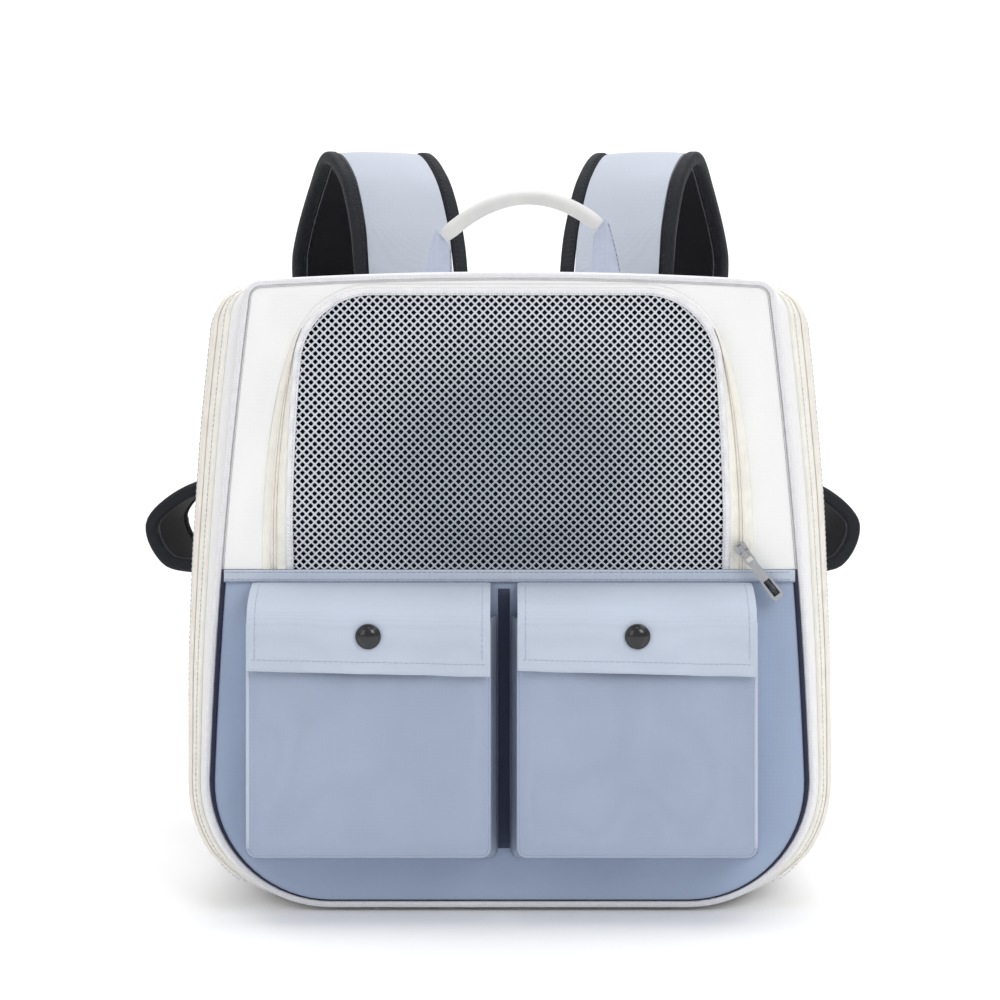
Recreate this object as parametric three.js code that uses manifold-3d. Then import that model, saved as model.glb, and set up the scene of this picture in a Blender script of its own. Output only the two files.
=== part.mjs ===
// Boxy pet carrier backpack with an arched window of net, two flap pockets and padded straps.
// Millimetres, +Z up. The front faces -Y, and the origin is the middle of the base's underside.
import * as THREE from 'three';
import { mergeVertices } from 'three/addons/utils/BufferGeometryUtils.js';
import Module from 'manifold-3d';

const wasm = await Module();
wasm.setup();

// Clearances
const GAP = 0.3;
const STITCH_GAP = 0.7;

// Front panel
const PANEL_FOOT = 7;
const PANEL_TOP = 379.2;
const PANEL_WIDTH = 358;
const PANEL_SHOULDER_WIDTH = 311;
const PANEL_SHOULDER_RADIUS = 7;
const PANEL_TOP_ARCH = 4.6;
const PANEL_BOW = 3.2;
const BOTTOM_CORNER_RADIUS = 72;
const SEAM_HEIGHT = 205;

// Gusset, the wall that runs round the bag
const BODY_DEPTH = 230;
const BODY_TOP = 380;
const WALL = 3;
const SIDE_FLARE_WIDTH = 16.5;
const SHOULDER_FLARE_WIDTH = 28.5;
const FLARE_DEPTH = 45;
const BODY_SHOULDER_RADIUS = 36;
const BODY_TOP_ARCH = 2.5;
const BODY_BOW = 4.2;
const BACK_INSET = 8;
const BACK_TAPER_DEPTH = 35;

// Piping and trim
const PIPING_RADIUS = 2;
const PIPING_STAND_OUT = 1.2;
const TRIM_HEIGHT = 7;
const TRIM_THICKNESS = 1.2;

// Zippers
const TAPE_THICKNESS = 1.2;
const COIL_HEIGHT = 1.4;
const GUSSET_TAPE_DEPTH = 10;
const GUSSET_TAPE_WIDTH = 21;
const GUSSET_COIL_WIDTH = 5;

// Window
const WINDOW_SHIFT = -1;
const WINDOW_SIDE_MARGIN = 24.3;
const WINDOW_TOP_MARGIN = 2.5;
const WINDOW_CORNER_START = 25;
const WINDOW_TAPE_WIDTH = 14;
const WINDOW_TAPE_TOP_WIDTH = 1.9;
const WINDOW_COIL_GAP = 0.7;
const WINDOW_BULGE = 12;
const BINDING_WIDTH = 4.5;
const BINDING_THICKNESS = 2.4;
const BINDING_STAND_OUT = 0.8;
const NET_LEAN = 4.5;
const NET_CORNER_START = 5;
const NET_CORNER_RADIUS = 42;
const NET_THICKNESS = 1.2;
const NET_CROWN = 3;

// Zipper slider and pull
const SLIDER_FROM_OPENING = 7;
const SLIDER_ABOVE_SEAM = 12;
const SLIDER_LENGTH = 10;
const SLIDER_WIDTH = 7.6;
const SLIDER_THICKNESS = 2.2;
const BRIDGE_LENGTH = 8;
const BRIDGE_WIDTH = 2.4;
const BRIDGE_BAR = 1.2;
const BRIDGE_HEADROOM = 2.4;
const PULL_ANGLE = 38;
const PULL_LENGTH = 34;
const PULL_THICKNESS = 1.6;
const PULL_NECK_WIDTH = 6.2;
const PULL_END_WIDTH = 7.6;
const PULL_EYE_WIDTH = 3.8;
const PULL_RECESS_DEPTH = 0.4;

// Pockets
const POCKET_DEPTH = 35;
const POCKET_FOOT = 32;
const POCKET_LEFT_MARGIN = 21;
const POCKET_RIGHT_MARGIN = 30;
const POCKET_SPACING = 8;
const POCKETS_SHIFT = -3.3;
const POCKET_TAPER = 4;
const POCKET_FOOT_TAPER = 8;
const POCKET_EDGE_RADIUS = 5;
const POCKET_CORNER_STEPS = 4;
const POCKET_CORNER_RADIUS = 5;
const POCKET_WALL = 2.5;
const FLAP_THICKNESS = 2;
const FLAP_DROP = 47;
const FLAP_CLEARANCE = 2.5;
const FLAP_HEM_SLOPE = 3.5;
const POCKET_BELOW_FLAP_TOP = 20;

// Snap caps
const SNAP_RADIUS = 7.5;
const SNAP_HEIGHT = 3.4;
const SNAP_ABOVE_HEM = 20;

// Handle
const HANDLE_SPAN = 100;
const HANDLE_SHIFT = 7.7;
const HANDLE_DEPTH = 110;
const HANDLE_RISE = 51;
const HANDLE_ARCH = 21.5;
const HANDLE_END_RISE = 7.6;
const GRIP_RADIUS = 5;
const TAB_WIDTH = 14;
const TAB_FOOT_WIDTH = 18;
const TAB_THICKNESS = 2.5;
const TAB_SPLAY = 4;

// Shoulder straps
const STRAP_SPACING = 140;
const STRAPS_SHIFT = 3;
const STRAP_REACH_LEFT = 249;
const STRAP_REACH_RIGHT = 239;
const STRAP_RISE = 83;
const STRAP_STAND_OFF = 104;
const STRAP_CURL_HEIGHT = 206;
const STRAP_WIDTH = 78;
const STRAP_THICKNESS = 8;
const LINING_THICKNESS = 1.5;
const LINING_LOW_SIDE = [2];
const PAD_CROWN = 0.6;
const PAD_END_ROUNDING = 2;
const STRAP_BINDING_WIDTH = 10;
const STRAP_BINDING_THICKNESS = 9.2;
const STRAP_CORNER_RADIUS = 7;

// Adjuster and lower webbing
const ADJUSTER_LENGTH = 29;
const ADJUSTER_WIDTH = 36;
const ADJUSTER_THICKNESS = 4;
const ADJUSTER_BAR = 3.6;
const ADJUSTER_SIDE = 5;
const WEBBING_WIDTH = 24;
const WEBBING_THICKNESS = 1.6;
const WEBBING_TAIL = 1;
const WEBBING_LEAD = 4;
const WEBBING_ANCHOR_HEIGHT = 66;
const WEBBING_ANCHOR_MARGIN = 35;

const FRONT = -BODY_DEPTH / 2;
const BACK = BODY_DEPTH / 2;
const CURVE_STEPS = 4;
const ARCH_SIDE_STEPS = 9;
const ARCH_CORNER_STEPS = 6;
const TUBE_SIDES = 8;
const STRAP_STEPS = 36;

// How the gusset opens from a panel's edge (0) to its full width (1), over the flare's depth
const FLARE_PROFILE = [
  { run: 0, spread: 0 },
  { run: 0.11, spread: 0.36 },
  { run: 0.35, spread: 0.7 },
  { run: 0.65, spread: 0.92 },
  { run: 1, spread: 1 },
];

// A pocket from the panel (depth 0) to its front face (depth 1)
const POCKET_SECTIONS = [
  { depth: 0, taper: 0, round: 0 },
  { depth: 0.5, taper: 0.55, round: 0 },
  { depth: 0.86, taper: 0.95, round: 0 },
  { depth: 0.96, taper: 1, round: 0.35 },
  { depth: 1, taper: 1, round: 1 },
];

// The coil's edges across the window's tape, from its outer edge (0) to the binding (1)
const COIL_SHARES = { outer: 0.36, inner: 0.6 };

// A flap from its seam, out over the pocket and down to its hem
const FLAP_SECTIONS = [
  { out: 0, drop: 0 },
  { out: 0.3, drop: 0.03 },
  { out: 0.62, drop: 0.1 },
  { out: 0.88, drop: 0.22 },
  { out: 1, drop: 0.4 },
  { out: 1.03, drop: 0.7 },
  { out: 1.04, drop: 1 },
];

// A shoulder strap from its root at the back panel, over its arch, down behind and round its curl.
// out runs from the root to the reach, back from the back panel to the stand-off, and high from the
// curl to the top of the arch. turn is how far the strap's outer edge turns from outward to forward.
const STRAP_SECTIONS = [
  { out: 0, back: 0, high: 0.56, turn: 0 },
  { out: 0, back: 0, high: 0.62, turn: 0 },
  { out: 0.005, back: 0.012, high: 0.69, turn: 1 },
  { out: 0.025, back: 0.07, high: 0.81, turn: 14 },
  { out: 0.075, back: 0.22, high: 0.94, turn: 20 },
  { out: 0.15, back: 0.5, high: 1, turn: 20 },
  { out: 0.225, back: 0.85, high: 0.9, turn: 20 },
  { out: 0.3, back: 1, high: 0.72, turn: 28 },
  { out: 0.31, back: 0.9, high: 0.52, turn: 50 },
  { out: 0.335, back: 0.68, high: 0.33, turn: 76 },
  { out: 0.42, back: 0.5, high: 0.185, turn: 88 },
  { out: 0.64, back: 0.43, high: 0.12, turn: 90 },
  { out: 0.85, back: 0.42, high: 0.1, turn: 90 },
  { out: 1, back: 0.42, high: 0.01, turn: 90 },
  { out: 0.94, back: 0.42, high: -0.08, turn: 90 },
  { out: 0.8, back: 0.42, high: -0.103, turn: 90 },
  { out: 0.67, back: 0.42, high: -0.095, turn: 90 },
];

const group = new THREE.Group();
const whiteCloth = new THREE.MeshStandardMaterial({ color: 0xf1f1f3, roughness: 0.85 });
const blueCloth = new THREE.MeshStandardMaterial({ color: 0xa9b3cc, roughness: 0.85 });
const paleBlueCloth = new THREE.MeshStandardMaterial({ color: 0xc2cbda, roughness: 0.8 });
const zipperCloth = new THREE.MeshStandardMaterial({ color: 0xf1ebdd, roughness: 0.7 });
const netCloth = new THREE.MeshStandardMaterial({ color: 0xb9c0cb, roughness: 0.7 });
const strapCloth = new THREE.MeshStandardMaterial({ color: 0xc5cbdc, roughness: 0.85 });
const blackCloth = new THREE.MeshStandardMaterial({ color: 0x14151c, roughness: 0.8 });
const blackPlastic = new THREE.MeshStandardMaterial({ color: 0x0c0d12, roughness: 0.2 });
const whiteRubber = new THREE.MeshStandardMaterial({ color: 0xf3f3f3, roughness: 0.5 });
const steel = new THREE.MeshStandardMaterial({ color: 0xc9ccd2, roughness: 0.25, metalness: 1 });

function add(name, geometry, material) {
  const mesh = new THREE.Mesh(geometry, material);
  mesh.name = name;
  group.add(mesh);
  return mesh;
}

// Closed meshes

function signedVolume(positions, indices) {
  const corners = [new THREE.Vector3(), new THREE.Vector3(), new THREE.Vector3()];
  let total = 0;
  for (let start = 0; start < indices.length; start += 3) {
    corners.forEach((corner, place) => corner.fromArray(positions, 3 * indices[start + place]));
    total += corners[0].dot(corners[1].clone().cross(corners[2]));
  }
  return total;
}

// The triangles that close a flat ring of points
function capTriangles(ring) {
  const normal = new THREE.Vector3();
  ring.forEach((point, place) => {
    normal.add(point.clone().cross(ring[(place + 1) % ring.length]));
  });
  const turn = new THREE.Quaternion().setFromUnitVectors(normal.normalize(), new THREE.Vector3(0, 0, 1));
  const flat = ring.map((point) => point.clone().applyQuaternion(turn));
  return THREE.ShapeUtils.triangulateShape(flat.map((point) => new THREE.Vector2(point.x, point.y)), []);
}

// A closed body through rings of points, either a loop or capped at both ends.
// The crossed sides have their faces split along the other diagonal.
function skin(rings, isLoop, crossedSides = []) {
  const sides = rings[0].length;
  const positions = rings.flat().flatMap((point) => point.toArray());
  const indices = [];
  const spans = isLoop ? rings.length : rings.length - 1;
  for (let ring = 0; ring < spans; ring += 1) {
    const near = ring * sides;
    const far = ((ring + 1) % rings.length) * sides;
    for (let side = 0; side < sides; side += 1) {
      const next = (side + 1) % sides;
      if (crossedSides.includes(side)) {
        indices.push(near + side, near + next, far + side);
        indices.push(near + next, far + next, far + side);
      } else {
        indices.push(near + side, near + next, far + next);
        indices.push(near + side, far + next, far + side);
      }
    }
  }
  if (!isLoop) {
    const last = (rings.length - 1) * sides;
    capTriangles(rings[0]).forEach(([a, b, c]) => indices.push(a, c, b));
    capTriangles(rings.at(-1)).forEach(([a, b, c]) => indices.push(last + a, last + b, last + c));
  }
  if (signedVolume(positions, indices) < 0) {
    indices.reverse();
  }
  const geometry = new THREE.BufferGeometry();
  geometry.setAttribute('position', new THREE.Float32BufferAttribute(positions, 3));
  geometry.setIndex(indices);
  return geometry;
}

function toSolid(geometry) {
  const bare = geometry.clone();
  bare.deleteAttribute('normal');
  bare.deleteAttribute('uv');
  const merged = mergeVertices(bare);
  return new wasm.Manifold(new wasm.Mesh({
    numProp: 3,
    vertProperties: merged.attributes.position.array,
    triVerts: new Uint32Array(merged.index.array),
  }));
}

function toGeometry(solid) {
  const mesh = solid.getMesh();
  const geometry = new THREE.BufferGeometry();
  geometry.setAttribute('position', new THREE.BufferAttribute(mesh.vertProperties, 3));
  geometry.setIndex(new THREE.BufferAttribute(mesh.triVerts, 1));
  return geometry;
}

function box(low, high) {
  const size = high.map((value, axis) => value - low[axis]);
  const geometry = new THREE.BoxGeometry(...size);
  geometry.translate(...low.map((value, axis) => value + size[axis] / 2));
  return geometry;
}

// A plate of an XZ outline, from its front face at frontY backwards
function plate(outline, frontY, thickness) {
  const rings = [frontY, frontY + thickness].map((y) => (
    outline.map((point) => new THREE.Vector3(point.x, y, point.y))
  ));
  return skin(rings, false);
}

// Outlines in the XZ plane, as Vector2 of x and height

function mirrored(rightHalf) {
  const left = rightHalf.slice(1, -1).reverse().map((point) => new THREE.Vector2(-point.x, point.y));
  return [...rightHalf, ...left];
}

// A line moved to its right-hand side, which is outward on a line that runs anticlockwise
function movedOut(points, distance, isClosed) {
  const count = points.length;
  return points.map((point, place) => {
    const before = isClosed ? (place + count - 1) % count : Math.max(place - 1, 0);
    const after = isClosed ? (place + 1) % count : Math.min(place + 1, count - 1);
    const along = points[after].clone().sub(points[before]).normalize();
    return new THREE.Vector2(point.x + along.y * distance, point.y - along.x * distance);
  });
}

function bagOutline({ foot, halfWidth, shoulder, shoulderRadius, top, arch, bow }) {
  const radius = BOTTOM_CORNER_RADIUS;
  const cornerX = halfWidth - radius;
  const cornerTop = foot + radius;
  const shoulderX = shoulder - shoulderRadius;
  const shoulderTop = top - arch;
  const shoulderFoot = shoulderTop - shoulderRadius;
  const corner = new THREE.EllipseCurve(cornerX, cornerTop, radius, radius, -Math.PI / 2, 0);
  const side = new THREE.QuadraticBezierCurve(
    new THREE.Vector2(halfWidth, cornerTop),
    new THREE.Vector2((halfWidth + shoulder) / 2 + 2 * bow, (cornerTop + shoulderFoot) / 2),
    new THREE.Vector2(shoulder, shoulderFoot),
  );
  const turn = new THREE.EllipseCurve(shoulderX, shoulderFoot, shoulderRadius, shoulderRadius, 0, Math.PI / 2);
  const crown = new THREE.QuadraticBezierCurve(
    new THREE.Vector2(shoulderX, shoulderTop),
    new THREE.Vector2(shoulderX / 2, top),
    new THREE.Vector2(0, top),
  );
  return mirrored([
    new THREE.Vector2(0, foot),
    ...corner.getPoints(2 * CURVE_STEPS),
    ...side.getPoints(CURVE_STEPS).slice(1),
    ...turn.getPoints(2 * CURVE_STEPS).slice(1),
    ...crown.getPoints(CURVE_STEPS).slice(1),
  ]);
}

const panelOutline = bagOutline({
  foot: PANEL_FOOT,
  halfWidth: PANEL_WIDTH / 2,
  shoulder: PANEL_SHOULDER_WIDTH / 2,
  shoulderRadius: PANEL_SHOULDER_RADIUS,
  top: PANEL_TOP,
  arch: PANEL_TOP_ARCH,
  bow: PANEL_BOW,
});
const bodyOutline = bagOutline({
  foot: 0,
  halfWidth: PANEL_WIDTH / 2 + SIDE_FLARE_WIDTH,
  shoulder: PANEL_SHOULDER_WIDTH / 2 + SHOULDER_FLARE_WIDTH,
  shoulderRadius: BODY_SHOULDER_RADIUS,
  top: BODY_TOP,
  arch: BODY_TOP_ARCH,
  bow: BODY_BOW,
});
const backOutline = movedOut(bodyOutline, -BACK_INSET, true);

// The half-width of a closed outline at one height, on its right side
function halfWidthAt(outline, height) {
  const rightHalf = outline.slice(0, outline.length / 2 + 1);
  const place = rightHalf.findIndex((point) => point.y > height && point.x > 0);
  const low = rightHalf[place - 1];
  const high = rightHalf[place];
  const share = (height - low.y) / (high.y - low.y);
  return THREE.MathUtils.lerp(low.x, high.x, share);
}

// Gusset

const seamInset = WALL + GAP;

function flareDepths() {
  const frontRun = FLARE_DEPTH - seamInset;
  const backRun = BACK_TAPER_DEPTH - seamInset;
  const front = FLARE_PROFILE.map(({ run }) => seamInset + run * frontRun);
  const back = FLARE_PROFILE.map(({ run }) => BODY_DEPTH - seamInset - run * backRun);
  return [...front, ...back.reverse()];
}

function spreadAfter(run) {
  const place = Math.max(1, FLARE_PROFILE.findIndex((section) => section.run >= run));
  const near = FLARE_PROFILE[place - 1];
  const far = FLARE_PROFILE[place];
  return THREE.MathUtils.lerp(near.spread, far.spread, (run - near.run) / (far.run - near.run));
}

// The gusset's outer line at a depth behind the front, lifted off its surface
function gussetLine(depth, lift) {
  const frontRun = Math.min(1, (depth - seamInset) / (FLARE_DEPTH - seamInset));
  const backRun = Math.min(1, (BODY_DEPTH - seamInset - depth) / (BACK_TAPER_DEPTH - seamInset));
  const start = frontRun < 1 ? panelOutline : backOutline;
  const spread = spreadAfter(Math.max(0, Math.min(frontRun, backRun)));
  const line = start.map((point, place) => point.clone().lerp(bodyOutline[place], spread));
  return movedOut(line, lift, true).map((point) => new THREE.Vector3(point.x, FRONT + depth, point.y));
}

function makeGusset() {
  const depths = flareDepths();
  const outer = depths.map((depth) => gussetLine(depth, 0));
  const inner = depths.map((depth) => gussetLine(depth, -WALL)).reverse();
  const lines = [...outer, ...inner];
  const rings = panelOutline.map((_, place) => lines.map((line) => line[place]));
  add('gusset', skin(rings, true), whiteCloth);
}

// A strip that lies on the gusset from one side's bottom corner up to its shoulder
function gussetStrip(isRight, nearDepth, farDepth, lowLift, highLift) {
  const bends = flareDepths().filter((depth) => depth > nearDepth + 1 && depth < farDepth - 1);
  const depths = [nearDepth, ...bends, farDepth];
  const lines = [
    ...depths.map((depth) => gussetLine(depth, highLift)),
    ...depths.map((depth) => gussetLine(depth, lowLift)).reverse(),
  ];
  const half = panelOutline.length / 2;
  const firstPlace = CURVE_STEPS;
  const lastPlace = half - CURVE_STEPS - CURVE_STEPS / 2;
  const places = Array.from({ length: lastPlace - firstPlace + 1 }, (_, step) => firstPlace + step);
  const sidePlaces = isRight ? places : places.map((place) => panelOutline.length - place);
  return skin(sidePlaces.map((place) => lines.map((line) => line[place])), false);
}

function makeGussetZippers() {
  const tapeEnd = GUSSET_TAPE_DEPTH + GUSSET_TAPE_WIDTH;
  const tapeTop = STITCH_GAP + TAPE_THICKNESS;
  const coilStart = GUSSET_TAPE_DEPTH + (GUSSET_TAPE_WIDTH - GUSSET_COIL_WIDTH) / 2;
  const coilEnd = coilStart + GUSSET_COIL_WIDTH;
  const coilFoot = tapeTop + GAP;
  for (const side of ['left', 'right']) {
    const isRight = side === 'right';
    const tape = gussetStrip(isRight, GUSSET_TAPE_DEPTH, tapeEnd, STITCH_GAP, tapeTop);
    const coil = gussetStrip(isRight, coilStart, coilEnd, coilFoot, coilFoot + COIL_HEIGHT);
    add(`gusset_zip_tape_${side}`, tape, zipperCloth);
    add(`gusset_zip_coil_${side}`, coil, zipperCloth);
  }
}

// Piping: a roll outside a panel's edge, level with its face or a little proud of it
function piping(outline, faceY, outward, standOut) {
  const offset = PIPING_RADIUS + STITCH_GAP;
  const centreY = faceY - outward * (PIPING_RADIUS - standOut);
  const rings = Array.from({ length: TUBE_SIDES }, (_, side) => {
    const angle = (2 * Math.PI * side) / TUBE_SIDES;
    const line = movedOut(outline, offset + PIPING_RADIUS * Math.cos(angle), true);
    const y = centreY + PIPING_RADIUS * Math.sin(angle);
    return line.map((point) => new THREE.Vector3(point.x, y, point.y));
  });
  return skin(rings, true);
}

// Window

const flapTop = SEAM_HEIGHT - TRIM_HEIGHT - GAP;
const openingFoot = halfWidthAt(panelOutline, SEAM_HEIGHT) - WINDOW_SIDE_MARGIN;
const openingTop = PANEL_TOP - WINDOW_TOP_MARGIN;
const bindingOutset = GAP + BINDING_WIDTH;
const tapeInset = openingFoot - GAP - WINDOW_TAPE_WIDTH;
const netFoot = tapeInset - GAP - bindingOutset;
const openingOutset = bindingOutset + GAP + WINDOW_TAPE_TOP_WIDTH + GAP;
const netTop = openingTop - openingOutset;
const archCentre = new THREE.Vector2(netFoot - NET_LEAN - NET_CORNER_RADIUS, netTop - NET_CORNER_RADIUS);

// An arch from its right foot on the seam, over its two corners, to its left foot. Each side is a
// curve that rises straight from the foot and runs smoothly into the corner.
function arch(halfFoot, radius, startDegrees) {
  const start = THREE.MathUtils.degToRad(startDegrees);
  const corner = new THREE.EllipseCurve(archCentre.x, archCentre.y, radius, radius, start, Math.PI / 2);
  const foot = new THREE.Vector2(halfFoot, SEAM_HEIGHT + GAP);
  const join = corner.getPoint(0);
  const bend = new THREE.Vector2(halfFoot, join.y - (halfFoot - join.x) / Math.tan(start));
  const side = new THREE.QuadraticBezierCurve(foot, bend, join);
  const middle = new THREE.Vector2(0, archCentre.y + radius);
  const rightHalf = [
    ...side.getPoints(ARCH_SIDE_STEPS).slice(0, -1),
    ...corner.getPoints(ARCH_CORNER_STEPS),
    middle,
  ];
  const left = rightHalf.slice(0, -1).reverse().map((point) => new THREE.Vector2(-point.x, point.y));
  return [...rightHalf, ...left];
}

function openingArch(inset) {
  const radius = NET_CORNER_RADIUS + openingOutset - inset;
  return arch(openingFoot - inset, radius, WINDOW_CORNER_START);
}

function netArch(outset) {
  return arch(netFoot + outset, NET_CORNER_RADIUS + outset, NET_CORNER_START);
}

// How far the window's door stands out of the panel at a height
function bulgeAt(height) {
  const rise = (height - SEAM_HEIGHT) / (openingTop - SEAM_HEIGHT);
  return WINDOW_BULGE * THREE.MathUtils.smoothstep(rise, 0, 0.22) * Math.max(0, 1 - rise) ** 0.6;
}

const doorBulges = netArch(0).map((point) => bulgeAt(point.y));

function onDoor(point, y) {
  return new THREE.Vector3(point.x + WINDOW_SHIFT, y, point.y);
}

// A band along an arch through some columns: each has its line in the XZ plane, and how far that
// line rises with the door's bulge. The band's front face is lifted off the panel's.
function archBand(columns, lift, thickness, places) {
  const rings = places.map((place) => {
    const front = columns.map(({ line, bulgeShare }) => (
      onDoor(line[place], FRONT - bulgeShare * doorBulges[place] - lift)
    ));
    const back = front.map((point) => point.clone().setY(point.y + thickness)).reverse();
    return [...front, ...back];
  });
  return skin(rings, false);
}

function makeWindow() {
  const places = doorBulges.map((_, place) => place);
  const tapeOuter = openingArch(GAP);
  const tapeInner = netArch(bindingOutset + GAP);
  const tapeColumns = [0, COIL_SHARES.outer, COIL_SHARES.inner, 1].map((share) => ({
    line: tapeOuter.map((point, place) => point.clone().lerp(tapeInner[place], share)),
    bulgeShare: share,
  }));
  add('window_zip_tape', archBand(tapeColumns, 0, TAPE_THICKNESS, places), zipperCloth);

  const bindingColumns = [bindingOutset, GAP].map((outset) => ({ line: netArch(outset), bulgeShare: 1 }));
  const binding = archBand(bindingColumns, BINDING_STAND_OUT, BINDING_THICKNESS, places);
  add('window_binding', binding, whiteCloth);

  const coilColumns = tapeColumns.slice(1, 3).reverse();
  const coilEnd = ARCH_SIDE_STEPS + 1;
  const coilPlaces = { right: places.slice(0, coilEnd), left: places.slice(-coilEnd) };
  for (const side of ['left', 'right']) {
    const coil = archBand(coilColumns, COIL_HEIGHT + WINDOW_COIL_GAP, COIL_HEIGHT, coilPlaces[side]);
    add(`window_zip_coil_${side}`, coil, zipperCloth);
  }
}

// The net is a thin sheet in rows from the seam to the top of the arch, crowned across
function makeNet() {
  const across = [-1, -0.75, -0.4, 0, 0.4, 0.75, 1];
  const rightSide = netArch(0).slice(0, ARCH_SIDE_STEPS + ARCH_CORNER_STEPS + 1);
  const rows = rightSide.map((edge) => {
    const bulge = bulgeAt(edge.y);
    const crown = (NET_CROWN * bulge) / WINDOW_BULGE;
    const front = across.map((share) => {
      const y = FRONT - bulge - crown * (1 - share * share);
      return onDoor(new THREE.Vector2(share * edge.x, edge.y), y);
    });
    const back = front.map((point) => point.clone().setY(point.y + NET_THICKNESS)).reverse();
    return [...front, ...back];
  });
  add('window_net', skin(rows, false), netCloth);
}

// Front panel, in two cloths that meet at the seam
function makeFrontPanel() {
  const whole = toSolid(plate(panelOutline, FRONT, WALL));
  const reach = PANEL_WIDTH;
  const slab = (low, high) => toSolid(box([-reach, FRONT - WALL, low], [reach, FRONT + 2 * WALL, high]));
  const openingShape = openingArch(0).map((point) => new THREE.Vector2(point.x + WINDOW_SHIFT, point.y));
  const footRight = openingShape[0].clone().setY(PANEL_FOOT);
  const footLeft = openingShape.at(-1).clone().setY(PANEL_FOOT);
  const opening = toSolid(plate([...openingShape, footLeft, footRight], FRONT - WALL, 3 * WALL));
  const upper = whole.intersect(slab(SEAM_HEIGHT + GAP, 2 * PANEL_TOP)).subtract(opening);
  const lower = whole.intersect(slab(-PANEL_TOP, SEAM_HEIGHT));
  add('front_panel_upper', toGeometry(upper), whiteCloth);
  add('front_panel_lower', toGeometry(lower), blueCloth);
}

function makeTrimBand() {
  const halfWidth = halfWidthAt(panelOutline, SEAM_HEIGHT) - STITCH_GAP;
  const front = FRONT - GAP - TRIM_THICKNESS;
  const band = box([-halfWidth, front, SEAM_HEIGHT - TRIM_HEIGHT], [halfWidth, FRONT - GAP, SEAM_HEIGHT]);
  add('trim_band', band, paleBlueCloth);
}

// Zipper slider and pull, set along the pull's own direction. Local x runs across the slider,
// local y into the bag and local z back up the pull.

const sliderPlace = new THREE.Vector3(
  WINDOW_SHIFT + openingFoot - SLIDER_FROM_OPENING,
  FRONT - bulgeAt(SEAM_HEIGHT + SLIDER_ABOVE_SEAM) - COIL_HEIGHT - WINDOW_COIL_GAP - GAP,
  SEAM_HEIGHT + SLIDER_ABOVE_SEAM,
);
const bridgeFoot = -SLIDER_THICKNESS;
const bridgeTop = bridgeFoot - BRIDGE_HEADROOM - BRIDGE_BAR;
const hingeY = bridgeFoot - BRIDGE_HEADROOM / 2;
const hingeZ = -BRIDGE_LENGTH / 2 + BRIDGE_BAR + 2 * GAP + PULL_THICKNESS / 2;

function placedOnSlider(geometry) {
  geometry.rotateY(-THREE.MathUtils.degToRad(PULL_ANGLE));
  geometry.translate(sliderPlace.x, sliderPlace.y, sliderPlace.z);
  return geometry;
}

function makeSlider() {
  const halfLength = SLIDER_LENGTH / 2;
  const waist = SLIDER_WIDTH * 0.34;
  const plateShape = [
    new THREE.Vector2(-waist, -halfLength),
    new THREE.Vector2(waist, -halfLength),
    new THREE.Vector2(SLIDER_WIDTH / 2, halfLength * 0.2),
    new THREE.Vector2(SLIDER_WIDTH / 2, halfLength * 0.75),
    new THREE.Vector2(waist, halfLength),
    new THREE.Vector2(-waist, halfLength),
    new THREE.Vector2(-SLIDER_WIDTH / 2, halfLength * 0.75),
    new THREE.Vector2(-SLIDER_WIDTH / 2, halfLength * 0.2),
  ];
  const top = toSolid(plate(plateShape, -SLIDER_THICKNESS, SLIDER_THICKNESS));
  const half = BRIDGE_WIDTH / 2;
  const end = BRIDGE_LENGTH / 2;
  const bridge = toSolid(box([-half, bridgeTop, -end], [half, bridgeFoot + GAP, end]));
  const inside = end - BRIDGE_BAR;
  const tunnel = toSolid(box([-half - 1, bridgeTop + BRIDGE_BAR, -inside], [half + 1, bridgeFoot, inside]));
  add('window_zip_slider', placedOnSlider(toGeometry(top.add(bridge.subtract(tunnel)))), steel);
}

function makePull() {
  const eyeClear = Math.hypot(BRIDGE_LENGTH / 2 - hingeZ, bridgeTop - hingeY) + GAP;
  const webStart = -eyeClear;
  const half = PULL_THICKNESS / 2;
  const neck = PULL_NECK_WIDTH / 2;
  const end = PULL_END_WIDTH / 2;
  const chamfer = PULL_END_WIDTH * 0.2;
  const outline = [
    new THREE.Vector2(-neck, half),
    new THREE.Vector2(-neck, webStart),
    new THREE.Vector2(-neck * 0.8, webStart * 1.6),
    new THREE.Vector2(-end, -PULL_LENGTH * 0.8),
    new THREE.Vector2(-end, -PULL_LENGTH + chamfer),
    new THREE.Vector2(-end + chamfer, -PULL_LENGTH),
    new THREE.Vector2(end - chamfer, -PULL_LENGTH),
    new THREE.Vector2(end, -PULL_LENGTH + chamfer),
    new THREE.Vector2(end, -PULL_LENGTH * 0.8),
    new THREE.Vector2(neck * 0.8, webStart * 1.6),
    new THREE.Vector2(neck, webStart),
    new THREE.Vector2(neck, half),
  ];
  const eye = PULL_EYE_WIDTH / 2;
  const body = toSolid(plate(outline, -half, PULL_THICKNESS));
  const window = toSolid(box([-eye, -PULL_THICKNESS, webStart], [eye, PULL_THICKNESS, -half]));
  const recess = toSolid(box(
    [-end * 0.6, -PULL_THICKNESS, -PULL_LENGTH * 0.93],
    [end * 0.6, -half + PULL_RECESS_DEPTH, -PULL_LENGTH * 0.6],
  ));
  const geometry = toGeometry(body.subtract(window).subtract(recess));
  geometry.translate(0, hingeY, hingeZ);
  add('window_zip_pull', placedOnSlider(geometry), steel);
}

// Pockets

const pocketTop = flapTop - POCKET_BELOW_FLAP_TOP;
const pocketBack = FRONT - GAP;

function pocketEnds(isRight) {
  return isRight
    ? { low: POCKETS_SHIFT + POCKET_SPACING / 2, high: PANEL_WIDTH / 2 - POCKET_RIGHT_MARGIN }
    : { low: POCKET_LEFT_MARGIN - PANEL_WIDTH / 2, high: POCKETS_SHIFT - POCKET_SPACING / 2 };
}

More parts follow.
